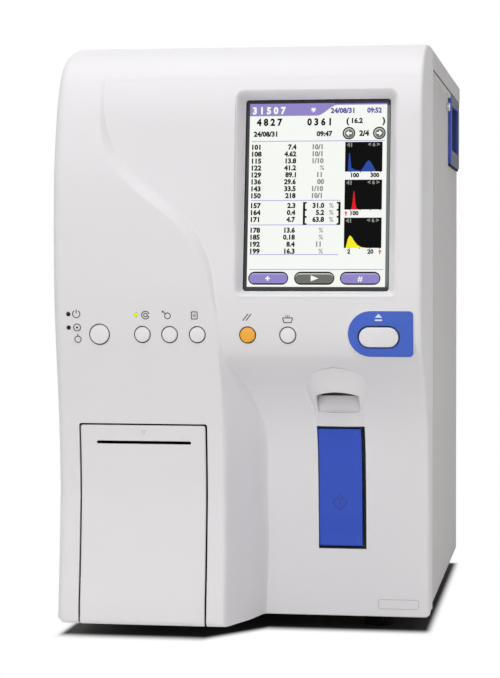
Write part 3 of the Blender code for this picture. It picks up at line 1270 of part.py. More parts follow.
def switch_pins(panel):
    """Two walls behind the panel that carry the rocker's stub axle."""
    y = REAR_INSIDE_Y - SWITCH_DEPTH / 2
    for side in (-1, 1):
        inner = SWITCH_X + side * (SWITCH_WIDTH / 2 + GAP)
        outer = inner + side * SWITCH_BOX_WALL
        low = (min(inner, outer), REAR_INSIDE_Y - SWITCH_DEPTH, INLET_Z - SWITCH_HEIGHT / 2)
        high = (max(inner, outer), REAR_INSIDE_Y + WELD, INLET_Z + SWITCH_HEIGHT / 2)
        join(panel, box(f"switch_wall_{side}", low, high))
    cut(panel, rod("switch_pin_hole", (SWITCH_X - SWITCH_WIDTH, y, INLET_Z),
                   (SWITCH_X + SWITCH_WIDTH, y, INLET_Z), SWITCH_PIN_RADIUS + PIN_CLEARANCE, 16))


def power_fittings():
    inlet = box("power_inlet",
                (INLET_X - INLET_WIDTH / 2, REAR_INSIDE_Y - INLET_DEPTH, INLET_Z - INLET_HEIGHT / 2),
                (INLET_X + INLET_WIDTH / 2, REAR_Y + INLET_PROUD, INLET_Z + INLET_HEIGHT / 2))
    lip = INLET_LIP
    cut(inlet, box("inlet_socket",
                   (INLET_X - INLET_WIDTH / 2 + lip, REAR_Y + INLET_PROUD - SOCKET_DEPTH,
                    INLET_Z - INLET_HEIGHT / 2 + lip),
                   (INLET_X + INLET_WIDTH / 2 - lip, REAR_Y + INLET_PROUD + OVERRUN,
                    INLET_Z + INLET_HEIGHT / 2 - lip)))
    paint(inlet, BLACK)
    y = REAR_INSIDE_Y - SWITCH_DEPTH / 2
    switch = rod("power_switch", (SWITCH_X - SWITCH_WIDTH / 2 - SWITCH_BOX_WALL, y, INLET_Z),
                 (SWITCH_X + SWITCH_WIDTH / 2 + SWITCH_BOX_WALL, y, INLET_Z), SWITCH_PIN_RADIUS, 16,
                 (SWITCH_X, y, INLET_Z))
    half = SWITCH_WIDTH / 2 - GAP
    join(switch, rocker_body(y, half))
    paint(switch, BLACK, 0.4)
    earth = turned("earth_stud", ((0, 0), (EARTH_NUT_RADIUS, 0), (EARTH_NUT_RADIUS, EARTH_NUT_LENGTH),
                                  (EARTH_RADIUS, EARTH_NUT_LENGTH), (EARTH_RADIUS, EARTH_LENGTH),
                                  (0, EARTH_LENGTH)),
                   (INLET_X, REAR_Y + GAP, EARTH_Z), (0, 1, 0), 6)
    paint(earth, STEEL, 0.3, 1.0)


def rocker_body(y, half):
    """The rocker: a wedge with two faces, narrower than its window by the swing of its ends."""
    tall = SWITCH_HEIGHT / 2 - SWITCH_PROUD
    mesh_builder = bmesh.new()
    back = y - SWITCH_PIN_RADIUS - SWITCH_BOX_WALL / 2
    side_outline = ((back, INLET_Z - tall / 2), (back, INLET_Z + tall / 2),
                    (REAR_Y + SWITCH_PROUD, INLET_Z + tall), (REAR_Y + SWITCH_PROUD / 2, INLET_Z),
                    (REAR_Y + SWITCH_PROUD, INLET_Z - tall))
    ends = [[mesh_builder.verts.new((x, py, pz)) for py, pz in side_outline]
            for x in (SWITCH_X - half, SWITCH_X + half)]
    mesh_builder.faces.new(ends[0])
    mesh_builder.faces.new(list(reversed(ends[1])))
    for index in range(len(side_outline)):
        after = (index + 1) % len(side_outline)
        mesh_builder.faces.new((ends[0][index], ends[1][index], ends[1][after], ends[0][after]))
    return finish_mesh("rocker_body", mesh_builder)


def hose_ports():
    """Three barbed hose connectors in a row."""
    panel = PORT_INSIDE + SHEET
    collar = panel + GAP
    collar_end = collar + PORT_COLLAR_LENGTH
    end = panel + REAR_STANDOFF
    free = end - collar_end
    stem = PORT_STEM_RADIUS
    profile = [(PORT_BORE, 0), (stem, 0), (stem, collar), (PORT_COLLAR_RADIUS, collar),
               (PORT_COLLAR_RADIUS, collar_end), (stem, collar_end)]
    for number in range(BARBS):
        start = collar_end + free * (BARB_START_SHARE + BARB_PITCH_SHARE * number)
        profile += [(PORT_BARB_RADIUS, start), (stem, start + free * BARB_LENGTH_SHARE)]
    profile += [(stem, end), (PORT_BORE, end), (PORT_BORE, 0)]
    for name, place in PORT_PLACES:
        x = PORT_X + place * PORT_PITCH
        port = turned(name, profile, (x, REAR_INSIDE_Y - PORT_INSIDE, PORT_Z), (0, 1, 0), 20)
        paint(port, CLEAR_PLASTIC, 0.3)


def data_port():
    port = box("data_port",
               (DATA_X - DATA_WIDTH / 2, REAR_INSIDE_Y - DATA_INSIDE, DATA_Z - DATA_HEIGHT / 2),
               (DATA_X + DATA_WIDTH / 2, REAR_Y + DATA_PROUD, DATA_Z + DATA_HEIGHT / 2))
    cut(port, box("data_socket",
                  (DATA_X - DATA_WIDTH / 2 + DATA_WALL, REAR_Y, DATA_Z - DATA_HEIGHT / 2 + DATA_WALL),
                  (DATA_X + DATA_WIDTH / 2 - DATA_WALL, REAR_Y + DATA_PROUD + OVERRUN,
                   DATA_Z + DATA_HEIGHT / 2 - DATA_WALL)))
    paint(port, STEEL, 0.4, 1.0)


def fan():
    """A square axial fan on the rear panel, with struts, hub and blades."""
    back = REAR_INSIDE_Y - GAP
    front = back - FAN_DEPTH
    half = FAN_SIDE / 2
    frame = box("fan_frame", (FAN_X - half, front, FAN_Z - half), (FAN_X + half, back, FAN_Z + half))
    cut(frame, rod("fan_tunnel", (FAN_X, front - OVERRUN, FAN_Z), (FAN_X, back + OVERRUN, FAN_Z),
                   FAN_RADIUS, 32))
    for number, (wide, high) in enumerate(((FAN_RADIUS + WELD, FAN_STRUT_WIDTH / 2),
                                           (FAN_STRUT_WIDTH / 2, FAN_RADIUS + WELD))):
        join(frame, box(f"fan_strut_{number}", (FAN_X - wide, front, FAN_Z - high),
                        (FAN_X + wide, front + FAN_STRUT_DEPTH, FAN_Z + high)))
    join(frame, rod("fan_motor", (FAN_X, front + WELD, FAN_Z),
                    (FAN_X, front + FAN_STRUT_DEPTH + WELD, FAN_Z), FAN_HUB_RADIUS, 24))
    cut(frame, rod("fan_bearing", (FAN_X, front - OVERRUN, FAN_Z), (FAN_X, back, FAN_Z),
                   FAN_SHAFT_RADIUS + PIN_CLEARANCE, 16))
    paint(frame, BLACK)
    fan_rotor(front, back)


def fan_rotor(front, back):
    hub_front = front + FAN_STRUT_DEPTH + WELD + GAP
    middle = (FAN_X, (hub_front + back) / 2, FAN_Z)
    rotor = rod("fan_rotor", (FAN_X, front + WELD, FAN_Z), (FAN_X, back - GAP, FAN_Z),
                FAN_SHAFT_RADIUS, 16, middle)
    join(rotor, rod("fan_hub", (FAN_X, hub_front, FAN_Z), (FAN_X, back - GAP * 2, FAN_Z), FAN_HUB_RADIUS))
    for number in range(FAN_BLADES):
        turn = 2 * math.pi * number / FAN_BLADES
        blade = box(f"fan_blade_{number}", (FAN_BLADE_ROOT, -FAN_BLADE_THICKNESS / 2, -FAN_BLADE_CHORD / 2),
                    (FAN_RADIUS - FAN_BLADE_TIP_GAP, FAN_BLADE_THICKNESS / 2, FAN_BLADE_CHORD / 2))
        spin = Matrix.Rotation(turn, 4, "Y") @ Matrix.Rotation(FAN_BLADE_PITCH, 4, "X")
        blade.data.transform(Matrix.Translation(middle) @ spin)
        join(rotor, blade)
    paint(rotor, BLACK)


def power_supply():
    back = REAR_INSIDE_Y - SUPPLY_FROM_REAR
    paint(box("power_supply", (LEFT_BAY_X - SUPPLY_WIDTH / 2, back - SUPPLY_DEPTH, FLOOR_Z + GAP),
              (LEFT_BAY_X + SUPPLY_WIDTH / 2, back, FLOOR_Z + GAP + SUPPLY_HEIGHT)), STEEL, 0.5, 1.0)


def main_board():
    """The computing board on four posts on the partition's left face."""
    face = PARTITION_X - GAP - STANDOFF_HEIGHT
    board = box("main_board", (face - BOARD_THICKNESS, BOARD_FRONT_Y, BOARD_BOTTOM),
                (face, BOARD_FRONT_Y + BOARD_LENGTH, BOARD_BOTTOM + BOARD_HEIGHT))
    for number in range(4):
        y = BOARD_FRONT_Y + STANDOFF_RADIUS * 2 + (number % 2) * (BOARD_LENGTH - STANDOFF_RADIUS * 4)
        z = BOARD_BOTTOM + STANDOFF_RADIUS * 2 + (number // 2) * (BOARD_HEIGHT - STANDOFF_RADIUS * 4)
        join(board, rod(f"standoff_{number}", (face - WELD, y, z), (PARTITION_X - GAP, y, z),
                        STANDOFF_RADIUS, 12))
    paint(board, BOARD_GREEN)


def bath_block():
    """The two open baths where the sample is diluted."""
    front = BATH_FRONT_Y
    top = BATH_BOTTOM + BATH_HEIGHT
    x = BAY_X + BATH_WIDTH / 2
    block = box("bath_block", (BAY_X, front, BATH_BOTTOM), (BAY_X + BATH_WIDTH, front + BATH_DEPTH, top))
    mesh_builder = bmesh.new()
    for quarters in (1, 3):
        y = front + BATH_DEPTH * quarters / 4
        add_rod(mesh_builder, (x, y, top - BATH_WELL), (x, y, top + OVERRUN), BATH_RADIUS)
    cut(block, finish_mesh("bath_wells", mesh_builder))
    paint(block, CLEAR_PLASTIC, 0.2)


def syringe_unit():
    front = SYRINGE_FRONT_Y
    x = BAY_X + SYRINGE_WIDTH / 2
    y = front + SYRINGE_DEPTH / 2
    body = box("syringe_body", (BAY_X, front, SYRINGE_BOTTOM),
               (BAY_X + SYRINGE_WIDTH, front + SYRINGE_DEPTH, SYRINGE_BOTTOM + SYRINGE_HEIGHT))
    cut(body, rod("syringe_bore", (x, y, SYRINGE_BOTTOM - OVERRUN),
                  (x, y, SYRINGE_BOTTOM + SYRINGE_BORE_DEPTH), SYRINGE_BORE, 24))
    paint(body, CLEAR_PLASTIC, 0.2)
    radius = SYRINGE_BORE - PLUNGER_CLEARANCE
    foot_top = PLUNGER_FOOT_HEIGHT
    rod_top = foot_top + PLUNGER_ROD_LENGTH
    end = rod_top + PLUNGER_REACH
    profile = ((0, 0), (PLUNGER_FOOT_RADIUS, 0), (PLUNGER_FOOT_RADIUS, foot_top),
               (PLUNGER_ROD_RADIUS, foot_top), (PLUNGER_ROD_RADIUS, rod_top), (radius, rod_top),
               (radius, end), (0, end))
    plunger = turned("syringe_plunger", profile, (x, y, SYRINGE_BOTTOM - rod_top), (0, 0, 1))
    paint(plunger, BLACK)


def pump():
    """A roller pump: a square body and a rotor with rollers round it."""
    front = PUMP_FRONT_Y
    y = front + PUMP_SIDE / 2
    z = PUMP_BOTTOM + PUMP_SIDE / 2
    face = BAY_X + PUMP_WIDTH
    body = box("pump_body", (BAY_X, front, PUMP_BOTTOM),
               (face, front + PUMP_SIDE, PUMP_BOTTOM + PUMP_SIDE))
    cut(body, rod("pump_bearing", (face - ROTOR_SHAFT_DEPTH - GAP, y, z), (face + OVERRUN, y, z),
                  ROTOR_SHAFT_RADIUS + PIN_CLEARANCE, 16))
    paint(body, GREY)
    pump_rotor(face, y, z)


def pump_rotor(face, y, z):
    back = face + GAP
    disc_end = back + ROTOR_LENGTH / 3
    end = back + ROTOR_LENGTH
    rotor = rod("pump_rotor", (face - ROTOR_SHAFT_DEPTH, y, z), (end, y, z), ROTOR_SHAFT_RADIUS, 16,
                (face, y, z))
    join(rotor, rod("rotor_disc", (back, y, z), (disc_end, y, z), ROTOR_RADIUS))
    distance = ROTOR_RADIUS - ROLLER_INSET
    for number in range(ROLLERS):
        angle = 2 * math.pi * number / ROLLERS
        roller_y = y + distance * math.cos(angle)
        roller_z = z + distance * math.sin(angle)
        join(rotor, rod(f"rotor_roller_{number}", (disc_end - WELD, roller_y, roller_z),
                        (end, roller_y, roller_z), ROLLER_RADIUS, 12))
    paint(rotor, BLACK)


def valve_block():
    """A manifold with a row of solenoid valves on it."""
    front = SEAM_Y + VALVE_FROM_SEAM
    face = BAY_X + VALVE_WIDTH
    block = box("valve_block", (BAY_X, front, VALVE_BOTTOM),
                (face, front + VALVE_LENGTH, VALVE_BOTTOM + VALVE_HEIGHT))
    for number in range(VALVES):
        y = front + VALVE_LENGTH * (number + 1 / 2) / VALVES
        z = VALVE_BOTTOM + VALVE_HEIGHT / 2
        join(block, rod(f"valve_coil_{number}", (face - WELD, y, z), (face + VALVE_COIL_LENGTH, y, z),
                        VALVE_COIL_RADIUS, 16))
    paint(block, CLEAR_PLASTIC, 0.3)


front_bezel()
keys_and_lamps()
eject_controls()
display()
printer_door()
printer()
start_paddle()
sampler_hood()
sampler_unit()
top_cover()
left_cover()
base_plate()
feet()
right_door()
side_grip()
door_screw()
hinge_pins()
front_frame()
partition()
rear_panel()
power_fittings()
hose_ports()
data_port()
fan()
power_supply()
main_board()
bath_block()
syringe_unit()
pump()
valve_block()
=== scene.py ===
import json
import math

import bmesh
import bpy
import numpy as np
from mathutils import Matrix, Vector

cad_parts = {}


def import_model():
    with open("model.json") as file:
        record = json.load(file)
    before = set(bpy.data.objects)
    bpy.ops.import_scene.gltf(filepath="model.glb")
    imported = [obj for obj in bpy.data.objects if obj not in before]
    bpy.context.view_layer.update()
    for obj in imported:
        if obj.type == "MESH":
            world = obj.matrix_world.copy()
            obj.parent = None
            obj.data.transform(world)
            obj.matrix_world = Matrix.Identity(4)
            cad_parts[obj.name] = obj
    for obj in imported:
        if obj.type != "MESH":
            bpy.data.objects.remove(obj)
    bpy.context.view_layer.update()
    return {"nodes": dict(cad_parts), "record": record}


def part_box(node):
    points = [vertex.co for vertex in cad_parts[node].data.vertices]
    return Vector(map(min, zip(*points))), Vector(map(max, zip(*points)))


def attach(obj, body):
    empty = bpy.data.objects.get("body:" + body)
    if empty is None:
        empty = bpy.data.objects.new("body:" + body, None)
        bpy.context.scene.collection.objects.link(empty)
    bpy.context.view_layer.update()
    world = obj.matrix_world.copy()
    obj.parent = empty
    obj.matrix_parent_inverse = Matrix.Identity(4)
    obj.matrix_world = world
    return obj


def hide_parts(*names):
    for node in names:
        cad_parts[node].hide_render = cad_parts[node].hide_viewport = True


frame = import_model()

NODES = frame["nodes"]
SCENE = bpy.context.scene
QUARTER = math.pi / 2
TURN = 2 * math.pi

# Places and sizes of the part, in metres
HALF_WIDTH = 0.1150
BODY_TOP = 0.3820
BODY_BOTTOM = 0.0138
BODY_HEIGHT = BODY_TOP - BODY_BOTTOM
FRONT_REACH = 0.1045
SEAM_Y = -0.1205
REAR_Y = 0.1950
SIDE_X = 0.1127
FLANGE_Z = 0.3677
GAP = 0.0003
SHEET = 0.0015
DOOR_LEFT = -0.100015
DOOR_RIGHT = -0.019815
DOOR_HEIGHT = 0.1272
DOOR_TOP = BODY_BOTTOM + DOOR_HEIGHT
DOOR_WIDTH = 0.0802
DOOR_X = -0.059915
DOOR_GAP = 0.0007
DOOR_WALL = 0.0025
DOOR_PIN_IN = 0.0085
DOOR_PIN_Z = 0.0213
LUG_WIDTH = 0.0040
LUG_HALF = 0.0034
SLOT_X = -0.059515
SLOT_Z = 0.1298
SLOT_WIDTH = 0.0600
SLOT_HEIGHT = 0.0020
SCREEN_X = 0.049105
SCREEN_Z = 0.2847078
SCREEN_WIDTH = 0.0890
SCREEN_HEIGHT = 0.1165
SCREEN_REACH_TOP = 0.0790
SCREEN_REACH_BOTTOM = 0.0940
GLASS_THICKNESS = 0.0020
SURROUND_BACK = 0.0060
OPENING_HALF = 0.0477
OPENING_BOTTOM = 0.2232578
OPENING_TOP = 0.3491578
KEY_Z = 0.1979
# Name, place in X and radius; all lie at one height
KEYS = (
    ("power_key", -0.08533, 0.0066), ("menu_key", -0.05819, 0.0053), ("mode_key", -0.0409975, 0.0053),
    ("record_key", -0.023575, 0.0053), ("clear_key", 0.00782, 0.0053), ("drain_key", 0.032775, 0.0053),
)
KEY_PROUD = 0.0010
KEY_LENGTH = 0.0060
# Name, place in X and height
LAMPS = (("power_lamp", -0.1049, 0.2103), ("standby_lamp", -0.1049, 0.2019), ("busy_lamp", -0.06187, 0.2101))
LAMP_RADIUS = 0.0011
LAMP_PROUD = 0.0003
PLATE_LEFT = 0.0700
PLATE_RIGHT = 0.1099
PLATE_Z = 0.1989
PLATE_HEIGHT = 0.0282
PLATE_CORNER = 0.0025
PLATE_THICKNESS = 0.0030
PLATE_TILT = math.radians(7.0)
PLATE_PROUD = 0.0008
EJECT_X = 0.0888
EJECT_Z = 0.1970
EJECT_WIDTH = 0.0247
EJECT_HEIGHT = 0.0127
EJECT_PROUD = 0.0012
PADDLE_LEFT = 0.042895
PADDLE_RIGHT = 0.070895
PADDLE_WIDTH = 0.0280
PADDLE_TOP = 0.1347
PADDLE_BOTTOM = 0.0590
PADDLE_HEIGHT = PADDLE_TOP - PADDLE_BOTTOM
PADDLE_SINK = 0.0012
PADDLE_WALL = 0.0040
PADDLE_GAP_LEFT = 0.0004
PADDLE_GAP_RIGHT = 0.0025
PADDLE_GAP_ENDS = 0.0017
PADDLE_PIN_IN = 0.0040
PADDLE_PIN_Z = 0.1287
HOOD_X = 0.058995
HOOD_BOTTOM = 0.1385
HOOD_HEIGHT = 0.0387
HOOD_HALF = 0.0192
HOOD_RISE = 0.0095
WINDOW_HALF = 0.0135
WINDOW_BOTTOM = 0.1472
WINDOW_TOP = 0.1575
WINDOW_ARCH = 0.0027
SLIT_TOP = 0.1660
GRIP_TOP = 0.3667
GRIP_BOTTOM = 0.3130
GRIP_FRONT_Y = 0.0795
GRIP_REAR_Y = 0.1875
GRIP_FRONT_RIM = 0.0120
GRIP_REAR_RIM = 0.0140
GRIP_BOTTOM_RIM = 0.0110
GRIP_TOP_RIM = 0.0070
GRIP_DEPTH = 0.0280
GRIP_WALL = 0.0020

# Outline of the front seen from the side: shares of the body height and of the front reach
FRONT_PROFILE_SHARES = (
    (0.0, 0.901), (0.044, 0.895), (0.098, 0.871), (0.158, 0.854), (0.229, 0.835), (0.299, 0.851),
    (0.370, 0.878), (0.438, 0.9215), (0.506, 0.9646), (0.574, 0.991), (0.642, 0.997), (0.690, 1.0),
    (0.745, 0.994), (0.777, 0.985), (0.813, 0.9656), (0.845, 0.942), (0.881, 0.912), (0.916, 0.863),
    (0.946, 0.805), (0.967, 0.732), (0.984, 0.612), (0.995, 0.450), (1.0, 0.210), (1.0, 0.0),
)
# The same for the hollow under the display
RECESS_PROFILE_SHARES = (
    (0.0, 0.258), (0.144, 0.268), (0.212, 0.287), (0.283, 0.316), (0.318, 0.354), (0.354, 0.4115),
    (0.389, 0.517), (0.413, 0.605), (0.434, 0.715), (0.451, 0.835), (0.463, 0.908), (0.476, 0.938),
    (0.506, 0.9646), (1.0, 1.2),
)
# The wave between the two halves: height share, place share of half the width, band width share
WAVE_SHARES = (
    (0.0, -0.077, 0.156), (0.141, -0.081, 0.176), (0.250, -0.086, 0.176), (0.321, -0.086, 0.189),
    (0.347, -0.087, 0.174), (0.369, -0.088, 0.148), (0.394, -0.089, 0.121), (0.424, -0.090, 0.085),
    (0.446, -0.093, 0.053), (0.478, -0.104, 0.024), (0.541, -0.113, 0.018), (0.575, -0.1335, 0.0217),
    (0.609, -0.157, 0.032), (0.639, -0.202, 0.0457), (0.669, -0.267, 0.063), (0.696, -0.355, 0.080),
    (0.721, -0.458, 0.104), (0.743, -0.552, 0.0887), (0.765, -0.6287, 0.083), (0.7855, -0.678, 0.0713),
    (0.810, -0.722, 0.061), (0.845, -0.744, 0.038), (0.878, -0.752, 0.0243), (0.921, -0.755, 0.0217),
    (1.0, -0.7565, 0.020),
)
# How far the display side lies behind the left side: height share, share of the front reach
STEP_SHARES = (
    (0.0, 0.0), (0.506, 0.0), (0.541, 0.006), (0.575, 0.015), (0.609, 0.030), (0.642, 0.045),
    (0.675, 0.055), (0.745, 0.0575), (0.777, 0.055), (0.810, 0.045), (0.845, 0.030), (0.878, 0.012),
    (0.921, 0.003), (1.0, 0.0),
)
HOOD_WIDTH_SHARES = (
    (0.0, 0.765), (0.10, 0.78), (0.20, 0.80), (0.335, 0.855), (0.47, 0.947), (0.58, 0.998), (0.64, 1.0),
    (0.70, 0.99), (0.75, 0.965), (0.80, 0.92), (0.84, 0.865), (0.88, 0.79), (0.915, 0.70), (0.946, 0.585),
    (0.970, 0.45), (0.985, 0.33), (0.995, 0.19), (1.0, 0.05),
)
HOOD_RISE_SHARES = (
    (0.0, 0.16), (0.20, 0.42), (0.45, 1.0), (0.62, 0.92), (0.80, 0.52), (0.93, 0.16), (1.0, 0.0),
)

# Fineness and edges of the scene's own shapes
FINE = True
ROW_STEP = 0.0010 if FINE else 0.0025
CURVE_STEP = 0.00025
FRONT_SOFTNESS = 0.0060
RECESS_SOFTNESS = 0.0040
WAVE_SOFTNESS = 0.0050
LEFT_FILLET = 0.0070
RIGHT_FILLET = 0.0026
TOP_FILLET = 0.0018
FILLET_STEPS = 7
LEFT_FOOT_RADIUS = 0.0035
RIGHT_FOOT_RADIUS = 0.0008
BAND_START_SHARE = 0.15
BAND_EASE_SHARE = 0.60
SMOOTH_ANGLE = math.radians(32.0)
OVERRUN = 0.0100


def linear(red, green, blue):
    """A colour from its screen values of 0 to 255."""
    shares = [value / 255 for value in (red, green, blue)]
    return tuple(s / 12.92 if s <= 0.04045 else ((s + 0.055) / 1.055) ** 2.4 for s in shares)


def softened(values, spread, step):
    """Values on an even line, smoothed over a length, with both ends kept in place."""
    reach = max(int(4 * spread / step), 1)
    offsets = np.arange(-reach, reach + 1) * step
    weights = np.exp(-offsets ** 2 / (2 * spread ** 2))
    before = 2 * values[0] - values[reach:0:-1]
    after = 2 * values[-1] - values[-2:-reach - 2:-1]
    return np.convolve(np.concatenate((before, values, after)), weights / weights.sum(), "valid")


def table_line(table, column=1):
    """A share table read at every height of the even line HEIGHTS."""
    rows = np.array(table)
    return np.interp((HEIGHTS - BODY_BOTTOM) / BODY_HEIGHT, rows[:, 0], rows[:, column])


def front_curve():
    """The smoothed outline of the left half: reaches and heights along its length."""
    points = np.array([(FRONT_REACH * reach, BODY_BOTTOM + BODY_HEIGHT * height)
                       for height, reach in FRONT_PROFILE_SHARES])
    lengths = np.concatenate(((0,), np.cumsum(np.hypot(*np.diff(points, axis=0).T))))
    even = np.linspace(0, lengths[-1], round(lengths[-1] / CURVE_STEP) + 1)
    lines = [np.interp(even, lengths, points[:, axis]) for axis in (0, 1)]
    return [softened(line, FRONT_SOFTNESS, CURVE_STEP) for line in lines]


HEIGHTS = np.linspace(BODY_BOTTOM, BODY_TOP, round(BODY_HEIGHT / CURVE_STEP) + 1)
CURVE_REACHES, CURVE_HEIGHTS = front_curve()
STEP_LINE = softened(FRONT_REACH * table_line(STEP_SHARES), WAVE_SOFTNESS, CURVE_STEP)
LEFT_LINE = np.interp(HEIGHTS, CURVE_HEIGHTS, CURVE_REACHES)
RECESS_LINE = FRONT_REACH * table_line(RECESS_PROFILE_SHARES)
RIGHT_LINE = softened(np.minimum(LEFT_LINE - STEP_LINE, RECESS_LINE), RECESS_SOFTNESS, CURVE_STEP)
EDGE_LINE = softened(HALF_WIDTH * table_line(WAVE_SHARES, 1), WAVE_SOFTNESS, CURVE_STEP)
BAND_LINE = softened(HALF_WIDTH * table_line(WAVE_SHARES, 2), WAVE_SOFTNESS, CURVE_STEP)


def clamped(share):
    return min(max(share, 0.0), 1.0)


def at_height(z, line):
    return float(np.interp(z, HEIGHTS, line))


def reach_y(reach):
    return SEAM_Y - reach


def round_drop(distance, radius):
    """How far a rounded edge lies below its face, at a distance from the edge."""
    inside = radius - min(max(distance, 0.0), radius)
    return radius - math.sqrt(max(radius ** 2 - inside ** 2, 0.0))


def left_reach(z):
    return at_height(z, LEFT_LINE) - round_drop(z - BODY_BOTTOM, LEFT_FOOT_RADIUS)


def right_reach(z):
    return at_height(z, RIGHT_LINE) - round_drop(z - BODY_BOTTOM, RIGHT_FOOT_RADIUS)


def band_depth(place):
    """Share of the step between the halves: rounded at the crease, then eased into the display side."""
    if place <= BAND_START_SHARE:
        return place ** 2 / (2 * BAND_START_SHARE)
    late = BAND_START_SHARE / 2
    if place <= BAND_EASE_SHARE:
        return place - late
    left = 1 - BAND_EASE_SHARE
    rest = (place - BAND_EASE_SHARE) / left
    slope = rest ** 3 - 2 * rest ** 2 + rest
    rise = 3 * rest ** 2 - 2 * rest ** 3
    return BAND_EASE_SHARE - late + (left + late) * rise + left * slope


def face_reach(x, z):
    """Reach of the finished front at a point, with its rounded sides."""
    place = clamped((x - at_height(z, EDGE_LINE)) / at_height(z, BAND_LINE))
    left, right = left_reach(z), right_reach(z)
    reach = left + (right - left) * band_depth(place)
    return reach - round_drop(x + HALF_WIDTH, LEFT_FILLET) - round_drop(HALF_WIDTH - x, RIGHT_FILLET)


def screen_reach(z):
    share = (z - SCREEN_Z) / SCREEN_HEIGHT + 1 / 2
    return SCREEN_REACH_BOTTOM + (SCREEN_REACH_TOP - SCREEN_REACH_BOTTOM) * share


SCREEN_TILT = math.atan2(SCREEN_REACH_BOTTOM - SCREEN_REACH_TOP, SCREEN_HEIGHT)
SCREEN_LENGTH = SCREEN_HEIGHT / math.cos(SCREEN_TILT)
PLATE_CENTRE = (0.0, reach_y(right_reach(PLATE_Z)), PLATE_Z)
KEY_BACK_REACH = min(face_reach(x, KEY_Z) for _, x, _ in KEYS) + KEY_PROUD - KEY_LENGTH

# Materials
WHITE = (1, 1, 1, 1)
GRAIN_SCALE = 2600.0
CLOUD_SCALE = 28.0
BUMP_DISTANCE = 0.00010
SOFT_EDGE = 0.0005
BACKLIGHT_SPREAD = 0.01
BRUSHED_SHADES = (0.86, 1.10)
BRUSHED_SPREAD = 0.08


def feed(tree, made, inputs):
    """Sets a node's inputs, by name or number, to values or to the outputs of other nodes."""
    for key, value in inputs.items():
        if isinstance(value, bpy.types.NodeSocket):
            tree.links.new(value, made.inputs[key])
        else:
            made.inputs[key].default_value = value


def node(tree, kind, inputs=None, **settings):
    made = tree.nodes.new(kind)
    for name, value in settings.items():
        setattr(made, name, value)
    feed(tree, made, inputs or {})
    return made


def opaque(colour, gain=1.0):
    return (*[min(value * gain, 1.0) for value in colour], 1)


def blend(tree, factor, first, second):
    return node(tree, "ShaderNodeMix", {0: factor, 6: first, 7: second}, data_type="RGBA").outputs[2]


def combined(tree, operation, first, second):
    return node(tree, "ShaderNodeMath", {0: first, 1: second}, operation=operation).outputs[0]


def mapped(tree, value, low, high, start=0.0, end=1.0, kind="LINEAR"):
    inputs = {"Value": value, "From Min": start, "From Max": end, "To Min": low, "To Max": high}
    return node(tree, "ShaderNodeMapRange", inputs, interpolation_type=kind).outputs["Result"]


def noise(tree, scale, detail, place=None):
    place = place or node(tree, "ShaderNodeTexCoord").outputs["Object"]
    inputs = {"Vector": place, "Scale": scale, "Detail": detail}
    return node(tree, "ShaderNodeTexNoise", inputs).outputs["Fac"]


def turned_place(tree, **inputs):
    place = node(tree, "ShaderNodeTexCoord").outputs["Object"]
    return node(tree, "ShaderNodeMapping", {"Vector": place, **inputs}).outputs["Vector"]


def bump(tree, height, strength, edge=0.0):
    """A rough surface over edges that look soft."""
    inputs = {"Height": height, "Strength": strength, "Distance": BUMP_DISTANCE}
    if edge:
        inputs["Normal"] = node(tree, "ShaderNodeBevel", {"Radius": edge}, samples=4).outputs["Normal"]
    return node(tree, "ShaderNodeBump", inputs).outputs["Normal"]


def new_material(name):
    material = bpy.data.materials.new(name)
    material.use_nodes = True
    return material, material.node_tree, material.node_tree.nodes["Principled BSDF"]


def moulded(name, colour, roughness, grain=0.10, cloud=0.03, grain_scale=GRAIN_SCALE, edge=SOFT_EDGE,
            specular=0.5, transmission=0.0, coat=0.0):
    """Plastic or paint: fine grain in the surface, faint clouds in colour and gloss, soft edges."""
    material, tree, shader = new_material(name)
    clouds = noise(tree, CLOUD_SCALE, 3.0)
    base = linear(*colour)
    feed(tree, shader, {
        "Base Color": blend(tree, clouds, opaque(base, 1 - cloud), opaque(base, 1 + cloud)),
        "Roughness": mapped(tree, clouds, roughness - cloud, roughness + cloud),
        "Normal": bump(tree, noise(tree, grain_scale, 1.0), grain, edge),
        "Specular IOR Level": specular, "Transmission Weight": transmission, "Coat Weight": coat,
    })
    return material


def lit(name, colour, roughness=0.15):
    """A lit surface under gloss: its colour shows as written, a little uneven as a backlight is."""
    material, tree, shader = new_material(name)
    glow = mapped(tree, noise(tree, CLOUD_SCALE, 1.0), 1 - BACKLIGHT_SPREAD, 1 + BACKLIGHT_SPREAD)
    feed(tree, shader, {
        "Base Color": opaque((0.0, 0.0, 0.0)), "Emission Color": opaque(linear(*colour)),
        "Emission Strength": glow, "Roughness": roughness, "Specular IOR Level": 0.02,
    })
    return material


def brushed(name, colour, roughness, stretch=(1.0, 1.0, 12.0), scale=160.0):
    """Metal sheet with fine lines along one way."""
    material, tree, shader = new_material(name)
    lines = noise(tree, scale, 4.0, turned_place(tree, Scale=stretch))
    dark, pale = (opaque(colour, shade) for shade in BRUSHED_SHADES)
    feed(tree, shader, {
        "Base Color": blend(tree, lines, dark, pale), "Metallic": 1.0,
        "Roughness": mapped(tree, lines, roughness - BRUSHED_SPREAD, roughness + BRUSHED_SPREAD),
        "Normal": bump(tree, lines, BRUSHED_SPREAD, SOFT_EDGE / 2),
    })
    return material


